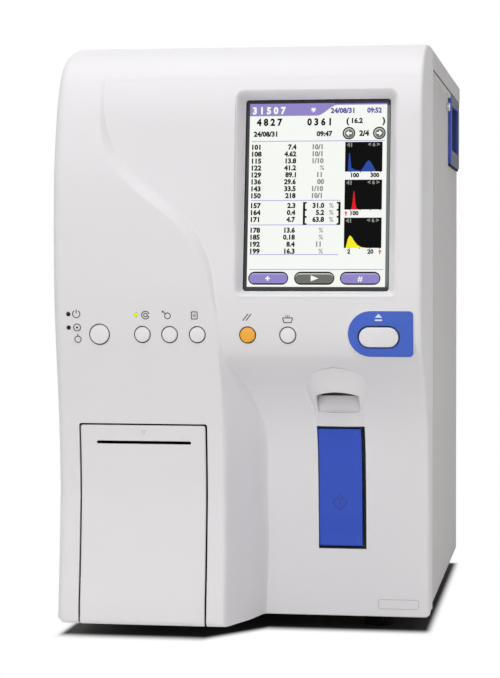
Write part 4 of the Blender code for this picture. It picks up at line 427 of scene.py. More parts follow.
def circuit(name, colour):
    """Solder mask over copper tracks: a grid of thin lighter lines broken by patches."""
    material, tree, shader = new_material(name)
    patches = node(tree, "ShaderNodeTexBrick", {
        "Vector": turned_place(tree, Rotation=(0.0, QUARTER, 0.0)), "Scale": 60.0, "Mortar Size": 0.03,
        "Color1": opaque(colour), "Color2": opaque(colour, 0.7),
        "Mortar": opaque([value * 2.2 + 0.01 for value in colour]),
    })
    feed(tree, shader, {"Base Color": patches.outputs["Color"], "Roughness": 0.35,
                        "Normal": bump(tree, patches.outputs["Fac"], 0.2)})
    return material


MOULDED_LOOKS = {
    "shell_plastic": dict(colour=(234, 232, 234), roughness=0.48, cloud=0.008, specular=0.25),
    "cover_paint": dict(colour=(222, 219, 219), roughness=0.60, grain=0.22, cloud=0.010, grain_scale=1500.0,
                        specular=0.12),
    "key_plastic": dict(colour=(234, 232, 234), roughness=0.36, grain=0.03, cloud=0.006),
    "orange_plastic": dict(colour=(246, 172, 40), roughness=0.34, grain=0.03, cloud=0.02),
    "blue_plastic": dict(colour=(56, 88, 198), roughness=0.40, grain=0.12, cloud=0.02, specular=0.22),
    "screen_glass": dict(colour=(18, 20, 26), roughness=0.08, grain=0.0, cloud=0.01, edge=0.0003, coat=0.4),
    "grey_plastic": dict(colour=(176, 177, 180), roughness=0.5),
    "black_plastic": dict(colour=(14, 14, 15), roughness=0.55, specular=0.2),
    "rubber": dict(colour=(16, 15, 15), roughness=0.8, grain=0.3, specular=0.1),
    "clear_plastic": dict(colour=(222, 228, 228), roughness=0.12, grain=0.0, transmission=0.75),
    "paper": dict(colour=(240, 240, 236), roughness=0.85, grain=0.3, edge=0.0),
    "lamp_green": dict(colour=(20, 28, 12), roughness=0.3, grain=0.0, specular=0.2),
    # Painted shade: darker copies of the grip's blue, for its faces that look out to the side and for the
    # inside of its tub
    "grip_side_painted_shade": dict(colour=(44, 46, 66), roughness=0.5, grain=0.12, specular=0.15),
    "grip_tub": dict(colour=(34, 52, 122), roughness=0.45, grain=0.12, specular=0.2),
    "eject_plate_blue": dict(colour=(72, 104, 202), roughness=0.42, grain=0.12, cloud=0.02, specular=0.22),
    "icon_ink": dict(colour=(26, 27, 32), roughness=0.6, grain=0.02, edge=0.0),
    "pale_ink": dict(colour=(232, 236, 246), roughness=0.5, grain=0.02, edge=0.0),
    "deep_blue_ink": dict(colour=(38, 58, 142), roughness=0.5, grain=0.02, edge=0.0),
    "faint_ink": dict(colour=(196, 196, 200), roughness=0.5, grain=0.02, edge=0.0),
}
BRUSHED_LOOKS = {
    "panel_metal": dict(colour=(0.55, 0.56, 0.57), roughness=0.40),
    "frame_steel": dict(colour=(0.60, 0.60, 0.58), roughness=0.38),
    "supply_metal": dict(colour=(0.62, 0.62, 0.60), roughness=0.42, stretch=(1.0, 12.0, 1.0)),
    "pin_steel": dict(colour=(0.66, 0.65, 0.63), roughness=0.25, stretch=(1.0, 1.0, 1.0), scale=900.0),
}
MATERIALS = {name: moulded(name, **looks) for name, looks in MOULDED_LOOKS.items()}
MATERIALS |= {name: brushed(name, **looks) for name, looks in BRUSHED_LOOKS.items()}
MATERIALS["circuit_board"] = circuit("circuit_board", (0.02, 0.17, 0.07))
MATERIALS["lamp_yellow"] = lit("lamp_yellow", (236, 234, 10), 0.4)


# Mesh helpers
def new_object(name, mesh):
    obj = bpy.data.objects.new(name, mesh)
    SCENE.collection.objects.link(obj)
    return obj


def finish_mesh(name, mesh_builder):
    bmesh.ops.recalc_face_normals(mesh_builder, faces=mesh_builder.faces)
    mesh = bpy.data.meshes.new(name)
    mesh_builder.to_mesh(mesh)
    mesh_builder.free()
    return new_object(name, mesh)


def dress(obj, body, slot_name, *replaced, look=None):
    """Gives a piece the material of its slot, puts it under its body and hides the CAD nodes that it stands
    for.
    """
    obj.data.materials.clear()
    obj.data.materials.append(MATERIALS[look or slot_name])
    obj.data.shade_smooth()
    obj.data.set_sharp_from_angle(angle=SMOOTH_ANGLE)
    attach(obj, body)
    if replaced:
        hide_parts(*replaced)
    return obj


def piece(name, mesh_builder, body, slot_name, *replaced):
    return dress(finish_mesh(name, mesh_builder), body, slot_name, *replaced)


def flat_piece(name, vertices, faces, materials, body):
    mesh = bpy.data.meshes.new(name)
    mesh.from_pydata(vertices, [], faces)
    for material in materials:
        mesh.materials.append(material)
    obj = new_object(name, mesh)
    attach(obj, body)
    return mesh


def changed(obj, kind, **settings):
    """The object with one modifier applied."""
    modifier = obj.modifiers.new("change", kind)
    for name, value in settings.items():
        setattr(modifier, name, value)
    depsgraph = bpy.context.evaluated_depsgraph_get()
    mesh = bpy.data.meshes.new_from_object(obj.evaluated_get(depsgraph))
    obj.modifiers.clear()
    obj.data = mesh
    return obj


def cut(obj, cutter):
    changed(obj, "BOOLEAN", operation="DIFFERENCE", solver="EXACT", object=cutter)
    bpy.data.objects.remove(cutter, do_unlink=True)
    return obj


def bevelled(obj, width, segments=3):
    return changed(obj, "BEVEL", width=width, segments=segments, limit_method="ANGLE",
                   angle_limit=SMOOTH_ANGLE)


def add_box(mesh_builder, low, high):
    made = bmesh.ops.create_cube(mesh_builder, size=1)["verts"]
    bmesh.ops.scale(mesh_builder, verts=made, vec=Vector(high) - Vector(low))
    bmesh.ops.translate(mesh_builder, verts=made, vec=(Vector(high) + Vector(low)) / 2)


def box(low, high):
    mesh_builder = bmesh.new()
    add_box(mesh_builder, low, high)
    return mesh_builder


def add_rod(mesh_builder, start, end, radius, sides=32, end_radius=None):
    start, end = Vector(start), Vector(end)
    turn = (end - start).to_track_quat("Z", "Y").to_matrix().to_4x4()
    bmesh.ops.create_cone(
        mesh_builder, cap_ends=True, segments=sides, radius1=radius,
        radius2=radius if end_radius is None else end_radius, depth=(end - start).length,
        matrix=Matrix.Translation((start + end) / 2) @ turn,
    )


def strip(mesh_builder, first, second):
    for index in range(len(first) - 1):
        mesh_builder.faces.new((first[index], first[index + 1], second[index + 1], second[index]))


def closed_slab(front, back):
    """A closed solid between two grids of points of one size."""
    mesh_builder = bmesh.new()
    fronts, backs = ([[mesh_builder.verts.new(point) for point in line] for line in sheet]
                     for sheet in (front, back))
    for sheet in (fronts, backs):
        for lower, upper in zip(sheet, sheet[1:]):
            strip(mesh_builder, lower, upper)
    for edge in (0, -1):
        strip(mesh_builder, [line[edge] for line in fronts], [line[edge] for line in backs])
        strip(mesh_builder, fronts[edge], backs[edge])
    return mesh_builder


def add_rings(mesh_builder, loops, closed=False):
    """Walls along a row of closed loops, with end faces or joined back to the first loop."""
    rings = [[mesh_builder.verts.new(point) for point in loop] for loop in loops]
    for first, second in zip(rings, rings[1:] + (rings[:1] if closed else [])):
        strip(mesh_builder, first + first[:1], second + second[:1])
    if not closed:
        mesh_builder.faces.new(rings[0])
        mesh_builder.faces.new(rings[-1])
    return mesh_builder


def add_prism(mesh_builder, outline, front_y, back_y):
    """A flat outline of (x, z) points drawn out along Y."""
    face = mesh_builder.faces.new([mesh_builder.verts.new((x, front_y, z)) for x, z in outline])
    grown = bmesh.ops.extrude_face_region(mesh_builder, geom=[face])["geom"]
    moved = [item for item in grown if isinstance(item, bmesh.types.BMVert)]
    bmesh.ops.translate(mesh_builder, verts=moved, vec=(0, back_y - front_y, 0))


def prism(outline, front_y, back_y):
    mesh_builder = bmesh.new()
    add_prism(mesh_builder, outline, front_y, back_y)
    return mesh_builder


def tilted(mesh_builder):
    """A form in its place on the eject plate, which leans with the front."""
    centre = Vector(PLATE_CENTRE)
    turn = Matrix.Translation(centre) @ Matrix.Rotation(PLATE_TILT, 4, "X") @ Matrix.Translation(-centre)
    bmesh.ops.transform(mesh_builder, matrix=turn, verts=mesh_builder.verts)
    return mesh_builder


def arc(cx, cz, radius, start, end, steps):
    return [(cx + radius * math.cos(start + (end - start) * step / steps),
             cz + radius * math.sin(start + (end - start) * step / steps)) for step in range(steps + 1)]


def disc(cx, cz, radius, sides=14):
    return arc(cx, cz, radius, 0, TURN * (1 - 1 / sides), sides - 1)


def discs(x, z, front, profile, sides):
    """Loops round a point of the front: a radius and a depth each."""
    return [[(px, front + depth, pz) for px, pz in disc(x, z, radius, sides)] for radius, depth in profile]


def rounded(left, right, bottom, top, radius, steps=6):
    """A rectangle with round corners, counter-clockwise."""
    corners = ((right - radius, top - radius), (left + radius, top - radius),
               (left + radius, bottom + radius), (right - radius, bottom + radius))
    points = []
    for turn, (cx, cz) in enumerate(corners):
        points += arc(cx, cz, radius, QUARTER * turn, QUARTER * (turn + 1), steps)
    return points


def stadium(x, z, width, height, steps=14):
    offset = width / 2 - height / 2
    return (arc(x + offset, z, height / 2, -QUARTER, QUARTER, steps)
            + arc(x - offset, z, height / 2, QUARTER, 3 * QUARTER, steps))


def plate_outline(margin):
    """The eject plate: a half round on the left, small corners on the right."""
    middle = PLATE_LEFT + PLATE_HEIGHT / 2
    corner_x = PLATE_RIGHT - PLATE_CORNER
    corner_z = PLATE_HEIGHT / 2 - PLATE_CORNER
    return (arc(middle, PLATE_Z, PLATE_HEIGHT / 2 + margin, QUARTER, 3 * QUARTER, 28)
            + arc(corner_x, PLATE_Z - corner_z, PLATE_CORNER + margin, -QUARTER, 0, 5)
            + arc(corner_x, PLATE_Z + corner_z, PLATE_CORNER + margin, 0, QUARTER, 5))


# The front moulding
TURN_SHARE = 0.930
FOOT_SHARES = (0, 0.03, 0.12, 0.25, 0.42, 0.62, 0.81)
FOOT_RISE = 0.0018
FOOT_RISE_END = 0.0300
FOOT_RISE_BACK = 0.0120
LEFT_CORNER = 0.0012
RIGHT_CORNER = 0.0016
LIP_HEIGHT = 0.0006
LIP_BACK = 0.0010
LIP_FRONT = 0.0012
CREASE = 0.0004
FLAT_STEPS = 3
BAND_SHARES = (
    0.0, 0.025, 0.05, 0.08, 0.11, 0.15, 0.20, 0.27, 0.35, 0.44, 0.52, 0.60, 0.69, 0.77, 0.84, 0.90, 0.95, 1.0,
)
BEZEL_WALL = 0.0025
WELD = 0.000002
DOOR_CORNER = 0.0015
DOOR_SPACE = 0.0210
PADDLE_SHIFT = 0.0009
PADDLE_RAISE = 0.0011
PLATE_GAP = 0.00065


def bezel_rows():
    """(z, left reach, right reach) from the foot up the front and over its top edge."""
    turn_z = BODY_BOTTOM + BODY_HEIGHT * TURN_SHARE
    foot_z = BODY_BOTTOM + LEFT_FOOT_RADIUS
    count = round((turn_z - foot_z) / ROW_STEP)
    heights = [BODY_BOTTOM + LEFT_FOOT_RADIUS * share for share in FOOT_SHARES]
    heights += list(np.linspace(foot_z, turn_z, count + 1))
    rows = [(z, left_reach(z), right_reach(z)) for z in heights]
    stride = round(ROW_STEP / CURVE_STEP)
    last = len(CURVE_HEIGHTS) - 1
    first = int(np.searchsorted(CURVE_HEIGHTS, turn_z)) + stride
    for index in [*range(first, last, stride), last]:
        z, reach = float(CURVE_HEIGHTS[index]), float(CURVE_REACHES[index])
        rows.append((z, max(reach, 0.0), max(reach - at_height(z, STEP_LINE), 0.0)))
    return rows


def row_normals(points):
    """Outward normals of a side outline of (reach, z) points, level at its foot and upright at its top."""
    normals = []
    for index in range(len(points)):
        before, after = points[max(index - 2, 0)], points[min(index + 2, len(points) - 1)]
        along = (after[0] - before[0], after[1] - before[1])
        length = math.hypot(*along) or 1.0
        normals.append((along[1] / length, -along[0] / length))
    return [(1.0, 0.0), *normals[1:-1], (0.0, 1.0)]


def foot_rise(x, z):
    """How much higher the front edge of the floor lies under the left half."""
    across = clamped((x - EDGE_LINE[0]) / BAND_LINE[0])
    up = clamped((z - BODY_BOTTOM) / FOOT_RISE_END)
    return float(FOOT_RISE * (1 - across) * (1 - up) ** 2)


def bezel_line(row, left_normal, right_normal):
    """The points of one row, from the seam on the left to the seam on the right."""
    z, left, right = row
    edge, band = at_height(z, EDGE_LINE), at_height(z, BAND_LINE)
    left_side = round_drop(z - BODY_BOTTOM, LEFT_CORNER) - HALF_WIDTH
    right_side = HALF_WIDTH - round_drop(z - BODY_BOTTOM, RIGHT_CORNER)
    right_fillet = RIGHT_FILLET + (TOP_FILLET - RIGHT_FILLET) * right_normal[1] ** 2

    def corner(side, sign, reach, normal, fillet):
        points = []
        for step in range(FILLET_STEPS + 1):
            angle = QUARTER * step / FILLET_STEPS
            inset, drop = fillet * (1 - math.cos(angle)), fillet * (1 - math.sin(angle))
            points.append((side + sign * inset, reach - normal[0] * drop, z - normal[1] * drop))
        return points

    line = corner(left_side, 1, left, left_normal, LEFT_FILLET)
    line += [(x, left, z) for x in np.linspace(left_side + LEFT_FILLET, edge - CREASE, FLAT_STEPS + 1)[1:]]
    line += [(edge + band * place, left + (right - left) * band_depth(place), z) for place in BAND_SHARES]
    flat_end = right_side - RIGHT_FILLET
    line += [(x, right, z) for x in np.linspace(edge + band, flat_end, FLAT_STEPS + 1)[1:-1]]
    line += reversed(corner(right_side, -1, right, right_normal, right_fillet))
    points = [(x, reach_y(max(reach, 0.0)), height + foot_rise(x, height)) for x, reach, height in line]
    _, last_y, last_z = points[-1]
    return [(points[0][0], SEAM_Y, points[0][2]), *points,
            (right_side - LIP_HEIGHT, max(SEAM_Y - LIP_FRONT, last_y), last_z),
            (right_side, max(SEAM_Y - LIP_BACK, last_y), last_z), (right_side, SEAM_Y, last_z)]


def bezel_shell():
    """The outer skin and the inner skin, which is the outer one drawn together and moved back."""
    rows = bezel_rows()
    normals = [row_normals([(row[side], row[0]) for row in rows]) for side in (1, 2)]
    lines = [bezel_line(*parts) for parts in zip(rows, *normals)]
    seam = [(x, SEAM_Y, BODY_BOTTOM) for x, _, _ in lines[0]]
    floor_edge = [(x, min(y + FOOT_RISE_BACK, SEAM_Y), BODY_BOTTOM) for x, y, _ in lines[0]]
    lines = [seam, floor_edge] + lines
    middle_z = (BODY_TOP + BODY_BOTTOM) / 2
    narrow, low = 1 - BEZEL_WALL / HALF_WIDTH, 1 - BEZEL_WALL * 2 / BODY_HEIGHT
    inner = [[(x * narrow, min(y + BEZEL_WALL, SEAM_Y), middle_z + (z - middle_z) * low)
              for x, y, z in line] for line in lines]
    mesh_builder = closed_slab(lines, inner)
    bmesh.ops.remove_doubles(mesh_builder, verts=mesh_builder.verts, dist=WELD)
    bmesh.ops.dissolve_degenerate(mesh_builder, dist=WELD / 2, edges=mesh_builder.edges)
    return finish_mesh("bezel", mesh_builder)


def paddle_opening():
    return (PADDLE_LEFT + PADDLE_SHIFT - PADDLE_GAP_LEFT, PADDLE_RIGHT + PADDLE_SHIFT + PADDLE_GAP_RIGHT,
            PADDLE_BOTTOM - PADDLE_GAP_ENDS, PADDLE_TOP + PADDLE_RAISE + PADDLE_GAP_ENDS)


def bezel_openings():
    """Everything that is cut from the front, as separate closed forms in one mesh."""
    front, key_back = reach_y(FRONT_REACH) - OVERRUN, reach_y(KEY_BACK_REACH)
    cutters = bmesh.new()
    for _, x, radius in KEYS:
        add_rod(cutters, (x, front, KEY_Z), (x, key_back, KEY_Z), radius, 48)
    for _, x, z in LAMPS:
        add_rod(cutters, (x, front, z), (x, key_back, z), LAMP_RADIUS + GAP, 20)
    add_prism(cutters, rounded(*hollow_sides(), HOLLOW_CORNER), front, reach_y(SCREEN_REACH_TOP) + OVERRUN)
    door = rounded(DOOR_LEFT - DOOR_GAP, DOOR_RIGHT + DOOR_GAP, -OVERRUN, DOOR_TOP + DOOR_GAP, DOOR_CORNER)
    add_prism(cutters, door, front, reach_y(left_reach(BODY_BOTTOM + LEFT_FOOT_RADIUS) - DOOR_SPACE))
    slit = (HOOD_X - WINDOW_HALF, HOOD_X + WINDOW_HALF, WINDOW_BOTTOM - SHEET, SLIT_TOP)
    for sides in (paddle_opening(), slit):
        add_prism(cutters, rounded(*sides, GAP, 2), front, SEAM_Y + OVERRUN)
    middle = PLATE_CENTRE[1]
    plate_builder = tilted(prism(plate_outline(PLATE_GAP), middle - OVERRUN, middle + OVERRUN))
    plate = bpy.data.meshes.new("plate_opening")
    plate_builder.to_mesh(plate)
    plate_builder.free()
    cutters.from_mesh(plate)
    return finish_mesh("bezel_openings", cutters)


def bezel():
    dress(cut(bezel_shell(), bezel_openings()), "housing", "shell_plastic", "front_bezel")


# The display: a soft hollow in the face, a thin bright edge and a dark step down to the pane
PANE_MORE = 0.0008
PANE_BOTTOM_MORE = 0.0017
PANE_CORNER = 0.0019
PANE_STEP = 0.0012
PANE_GAP = 0.0001
# How far each loop of the pane lies inside its outline, and behind its face
PANE_STEPS = ((0.0, GLASS_THICKNESS), (0.0, 0.0003), (0.0001, 0.0001), (0.0003, 0.0))
HOLLOW_LEFT = 0.0046
HOLLOW_RIGHT = 0.0056
HOLLOW_TOP = 0.0056
HOLLOW_BOTTOM = 0.0033
HOLLOW_CORNER = 0.0048
HOLLOW_LIP = 0.0005
HOLLOW_BEND_SHARE = 0.45
HOLLOW_STEPS = 12
# Margin round the pane and height over its plane, at the foot of the hollow
HOLLOW_FOOT = ((0.00015, 0.001152), (0.0, 0.001))
OPENING_CORNER = 0.0035
LIP_OVER = 0.00008


def pane_sides(margin):
    across, up = SCREEN_WIDTH / 2 + PANE_MORE + margin, SCREEN_HEIGHT / 2 + margin
    return SCREEN_X - across, SCREEN_X + across, SCREEN_Z - up - PANE_BOTTOM_MORE, SCREEN_Z + up + PANE_MORE


def hollow_sides(margin=0):
    left, right, bottom, top = pane_sides(margin)
    return left - HOLLOW_LEFT, right + HOLLOW_RIGHT, bottom - HOLLOW_BOTTOM, top + HOLLOW_TOP


def hollow_loop(share):
    """A ring between the outer edge of the hollow, share 0, and the pane's edge, share 1."""
    bend = HOLLOW_BEND_SHARE
    depth = (share ** 2 / (2 * bend) if share <= bend else share - bend / 2) / (1 - bend / 2)
    points = []
    for (outer_x, outer_z), (inner_x, inner_z) in zip(rounded(*hollow_sides(), HOLLOW_CORNER, 8),
                                                      rounded(*pane_sides(GAP), PANE_CORNER, 8)):
        high = face_reach(outer_x, outer_z) + LIP_OVER
        low = screen_reach(inner_z) + PANE_STEP
        points.append((outer_x + (inner_x - outer_x) * share, reach_y(high + (low - high) * depth),
                       outer_z + (inner_z - outer_z) * share))
    return points


def surround():
    """The hollow round the display, from a thin lip on the face down to the pane."""
    rim = rounded(*hollow_sides(HOLLOW_LIP), HOLLOW_CORNER + HOLLOW_LIP, 8)
    loops = [[(x, reach_y(face_reach(x, z) + over), z) for x, z in rim] for over in (-GAP, LIP_OVER)]
    loops += [hollow_loop(step / HOLLOW_STEPS) for step in range(HOLLOW_STEPS + 1)]
    opening = (SCREEN_X - OPENING_HALF, SCREEN_X + OPENING_HALF, OPENING_BOTTOM, OPENING_TOP)
    feet = [(rounded(*pane_sides(margin), PANE_CORNER, 8), over) for margin, over in HOLLOW_FOOT]
    feet += [(rounded(*pane_sides(0), PANE_CORNER, 8), -SURROUND_BACK),
             (rounded(*opening, OPENING_CORNER, 8), -SURROUND_BACK)]
    loops += [[(x, reach_y(screen_reach(z) + over), z) for x, z in outline] for outline, over in feet]
    border = add_rings(bmesh.new(), loops, True)
    piece("display_border", border, "housing", "shell_plastic", "display_surround")


def screen_point(across, up, proud):
    """A point of the glass plane, from its middle, in front of it by a small height."""
    centre = Vector((SCREEN_X, reach_y(screen_reach(SCREEN_Z)), SCREEN_Z))
    return centre + Matrix.Rotation(-SCREEN_TILT, 4, "X") @ Vector((across, -proud, up))


def glass():
    """The dark glossy pane: a thin plate with round corners and a soft edge."""
    loops = []
    for inset, depth in PANE_STEPS:
        side = SCREEN_WIDTH / 2 + PANE_MORE - PANE_GAP - inset
        bottom = SCREEN_LENGTH / 2 + PANE_BOTTOM_MORE - PANE_GAP - inset
        top = SCREEN_LENGTH / 2 + PANE_MORE - PANE_GAP - inset
        outline = rounded(-side, side, -bottom, top, PANE_CORNER - inset, 6)
        loops.append([screen_point(across, up, -depth) for across, up in outline])
    piece("display_pane", add_rings(bmesh.new(), loops), "housing", "screen_glass", "display_glass")


# What the screen shows: places are shares of the lit area, from its upper left corner
LIT_LEFT = 0.0017
LIT_TOP = 0.0016
LIT_WIDTH = 0.0857
LIT_MARGINS = 0.0026
LIT_HEIGHT = SCREEN_LENGTH - LIT_MARGINS
TEXT_CAP = 0.69
TEXT_WEIGHT = 0.048
LAYER = 0.0000025
COLOURS = {
    "page": (245, 248, 243), "violet": (147, 134, 200), "deep_violet": (96, 84, 160), "black": (4, 4, 5),
    "grey": (140, 142, 140), "dark_grey": (112, 112, 106), "white": (250, 250, 252), "blue": (46, 74, 160),
    "red": (226, 24, 36), "yellow": (246, 236, 40), "light_violet": (178, 168, 222),
    "mid_grey": (196, 198, 194),
}
# Text: colour, figures, left, top, height, width share
TOP_TEXTS = (
    ("black", "4 8 2 7", 0.05, 0.084, 0.036, 0.92), ("black", "0 3 6 1", 0.42, 0.084, 0.036, 0.92),
    ("black", "(", 0.705, 0.082, 0.030), ("black", "16.2", 0.745, 0.084, 0.026),
    ("black", ")", 0.965, 0.082, 0.030), ("black", "24/08/31", 0.03, 0.154, 0.026),
    ("black", "09:47", 0.49, 0.154, 0.026), ("black", "2/4", 0.80, 0.152, 0.028),
)
ARROWS = ((0.725, -1), (0.945, 1))
ARROW_V = 0.166
RULES = ((0.207, 0.985), (0.531, 0.67), (0.664, 0.665), (0.825, 0.66), (0.906, 0.985))
RULE_LEFT = 0.015
RULE_HALF = 0.0022
BUTTONS = (
    (0.010, "violet", "light_violet"), (0.344, "dark_grey", "mid_grey"),
    (0.675, "violet", "light_violet"),
)
BUTTON_WIDTH = 0.292
BUTTON_BOTTOM = 0.989
BUTTON_RIM = 0.0080
BAND_FOOT = 0.068
BAND_FLAT = 0.010
BAND_CURVE = (0.64, 0.15)
READINGS = (
    (0.226, "7.4", "10/1"), (0.264, "4.62", "10/1"), (0.302, "13.8", "1/10"), (0.340, "41.2", "%"),
    (0.378, "89.1", "11"), (0.416, "29.6", "00"), (0.454, "33.5", "1/10"), (0.492, "218", "10/1"),
    (0.546, "2.3", "31.0"), (0.584, "0.4", "5.2"), (0.622, "4.7", "63.8"),
    (0.680, "13.6", "%"), (0.718, "0.18", "%"), (0.756, "8.4", "11"), (0.794, "16.3", "%"),
)
BRACKET_ROWS = (8, 9, 10)
READING_HEIGHT = 0.0255
# Charts: top, bottom, colour, curve in shares, then the figures under it and their places
CHARTS = (
    (0.214, 0.376, "blue", ((0.08, 0.0), (0.10, 0.62), (0.13, 0.62), (0.17, 0.14), (0.25, 0.07), (0.43, 0.03),
                            (0.52, 0.20), (0.58, 0.33), (0.64, 0.38), (0.70, 0.31), (0.78, 0.13),
                            (0.84, 0.0)), (("100", 0.745), ("300", 0.885))),
    (0.420, 0.582, "red", ((0.18, 0.0), (0.21, 0.18), (0.24, 0.62), (0.26, 0.62), (0.29, 0.25), (0.32, 0.06),
                           (0.37, 0.0)), (("100", 0.745),)),
    (0.626, 0.790, "yellow", ((0.05, 0.0), (0.10, 0.28), (0.15, 0.41), (0.20, 0.38), (0.28, 0.22),
                              (0.36, 0.10), (0.46, 0.03), (0.60, 0.0)), (("2", 0.725), ("20", 0.870))),
)
CHART_LEFT = 0.700
CHART_WIDTH = 0.270
TICKS = (0.15, 0.42, 0.70, 0.95)
TICK_HALF = 0.003
TICK_HEIGHT = 0.005
RED_ARROWS = ((0.712, 0.590), (0.960, 0.798))


class Drawing:
    """Flat filled outlines in layers, kept by colour, each a little prouder than the last."""

    def __init__(self):
        self.shapes = []

    def fill(self, colour, outline):
        self.shapes.append((colour, outline, [range(len(outline))]))

    def block(self, colour, left, top, right, bottom):
        self.fill(colour, [(left, bottom), (right, bottom), (right, top), (left, top)])

    def text(self, colour, words, left, top, height, width_share=1.0, right=False):
        points, faces = glyphs(words)
        low = min(x for x, _ in points)
        wide = max(x for x, _ in points) - low
        scale_v = height / TEXT_CAP
        scale_u = scale_v * width_share * LIT_HEIGHT / LIT_WIDTH
        start = left - wide * scale_u if right else left
        placed = [(start + (x - low) * scale_u, top + height - y * scale_v) for x, y in points]
        self.shapes.append((colour, placed, faces))

    def spot(self, colour, u, v, radius):
        wide = disc(0, 0, radius, 24)
        self.fill(colour, [(u + x, v + y * LIT_WIDTH / LIT_HEIGHT) for x, y in wide])

    def button(self, colour, left, top, inset=0.0):
        """A bar whose ends are round in true size."""
        half = (BUTTON_BOTTOM - top) / 2 - inset
        bulge = half * LIT_HEIGHT / LIT_WIDTH
        middle = (top + BUTTON_BOTTOM) / 2
        points = []
        for side, centre in ((1, left + BUTTON_WIDTH - inset - bulge), (-1, left + inset + bulge)):
            points += [(centre + side * bulge * x, middle - side * half * y)
                       for x, y in arc(0, 0, 1, -QUARTER, QUARTER, 12)]
        self.fill(colour, points)


def glyphs(words):
    """Points and faces of a line of figures in Blender's own font."""
    curve = bpy.data.curves.new("figures", "FONT")
    curve.body = words
    curve.resolution_u = 2
    curve.offset = TEXT_WEIGHT / 4 if "%" in words or "#" in words else TEXT_WEIGHT
    obj = new_object("figures", curve)
    solid = obj.evaluated_get(bpy.context.evaluated_depsgraph_get())
    mesh = solid.to_mesh()
    points = [(v.co.x, v.co.y) for v in mesh.vertices]
    faces = [tuple(p.vertices) for p in mesh.polygons]
    solid.to_mesh_clear()
    bpy.data.objects.remove(obj, do_unlink=True)
    bpy.data.curves.remove(curve)
    return points, faces


def header(page):
    """The band over the page, with its curved end and the clock beside it."""
    start, run = BAND_CURVE
    steps = [step / 12 for step in range(13)]
    drop = BAND_FOOT - BAND_FLAT
    curve = [(start - run * s, BAND_FLAT + drop * (3 * s ** 2 - 2 * s ** 3)) for s in steps]
    page.fill("violet", [(0.0, BAND_FOOT), *reversed(curve), (0.66, BAND_FLAT), (1.0, BAND_FLAT), (1.0, 0.0),
                         (0.0, 0.0)])
    page.block("deep_violet", 0.62, 0.0, 1.0, 0.004)
    page.text("white", "3 1 5 0 7", 0.02, 0.020, 0.036, 0.95)
    page.spot("light_violet", 0.465, 0.036, 0.020)
    page.fill("white", [(0.447, 0.028), (0.483, 0.028), (0.465, 0.050)])
    page.text("deep_violet", "24/08/31", 0.59, 0.028, 0.026)
    page.text("deep_violet", "09:52", 0.855, 0.028, 0.026, 0.94)


def arrows(page):
    for u, side in ARROWS:
        page.spot("black", u, ARROW_V, 0.046)
        page.spot("mid_grey", u, ARROW_V, 0.037)
        page.spot("dark_grey", u + 0.002, ARROW_V + 0.002, 0.031)
        page.fill("white", [(u + side * 0.022, ARROW_V), (u, ARROW_V - 0.016), (u, ARROW_V + 0.016)])
        left, right = sorted((u - side * 0.020, u))
        page.block("white", left, ARROW_V - 0.005, right, ARROW_V + 0.005)


def readings(page):
    """Rows of plain figures: a row number, a value and its grey remark."""
    height = READING_HEIGHT
    for number, (v, value, remark) in enumerate(READINGS):
        page.text("black", f"{101 + number * 7}", 0.02, v, height, 1.05)
        page.text("black", value, 0.345, v, height, 1.0, True)
        if number in BRACKET_ROWS:
            page.text("black", "[", 0.40, v - 0.004, height * 1.3, 1.3)
            page.text("black", remark, 0.555, v, height, 1.0, True)
            page.text("grey", "%", 0.59, v, height)
            page.text("black", "]", 0.645, v - 0.004, height * 1.3, 1.3)
        else:
            page.text("grey", remark, 0.535 - 0.018 * len(remark), v, height)


def charts(page):
    """Three black charts with a filled curve and figures under each."""
    right = CHART_LEFT + CHART_WIDTH
    for top, bottom, colour, curve, labels in CHARTS:
        page.block("black", CHART_LEFT, top, right, bottom)
        page.fill(colour, [(CHART_LEFT + CHART_WIDTH * u, bottom - (bottom - top) * v) for u, v in curve])
        page.text("grey", "41", CHART_LEFT + 0.012, top + 0.004, 0.022)
        page.text("grey", "< 6 >", right - 0.105, top + 0.004, 0.020)
        for words, u in labels:
            page.text("black", words, u, bottom + 0.008, 0.022)
        for share in TICKS:
            u = CHART_LEFT + CHART_WIDTH * share
            page.block("black", u - TICK_HALF, bottom, u + TICK_HALF, bottom + TICK_HEIGHT)
    for u, v in RED_ARROWS:
        page.fill("red", [(u - 0.013, v + 0.012), (u, v), (u + 0.013, v + 0.012)])
        page.block("red", u - 0.004, v + 0.010, u + 0.004, v + 0.026)


def screen_drawing():
    page = Drawing()
    page.block("page", 0, 0, 1, 1)
    header(page)
    for row in TOP_TEXTS:
        page.text(*row)
    arrows(page)
    for v, right in RULES:
        page.block("light_violet", RULE_LEFT, v - RULE_HALF, right, v + RULE_HALF)
    readings(page)
    charts(page)
    for left, colour, rim in BUTTONS:
        page.button("black", left, 0.918)
        page.button(rim, left, 0.918, BUTTON_RIM)
        page.button(colour, left, 0.925, BUTTON_RIM)
    page.text("white", "+", 0.135, 0.940, 0.030)
    page.fill("white", [(0.465, 0.938), (0.52, 0.954), (0.465, 0.970)])
    page.text("white", "#", 0.803, 0.940, 0.030)
    return page


def screen_image():
    """The lit page in front of the pane, one material for each colour."""
    names = list(COLOURS)
    vertices, faces, colours = [], [], []
    for number, (colour, points, shape_faces) in enumerate(screen_drawing().shapes, 1):
        start = len(vertices)
        vertices += [screen_point(LIT_LEFT - SCREEN_WIDTH / 2 + u * LIT_WIDTH,
                                  SCREEN_LENGTH / 2 - LIT_TOP - v * LIT_HEIGHT, LAYER * (16 + number))
                     for u, v in points]
        faces += [[start + index for index in face] for face in shape_faces]
        colours += [names.index(colour)] * len(shape_faces)
    materials = [lit(f"screen_{name}", COLOURS[name]) for name in names]
    mesh = flat_piece("screen_image", vertices, faces, materials, "housing")
    mesh.polygons.foreach_set("material_index", colours)


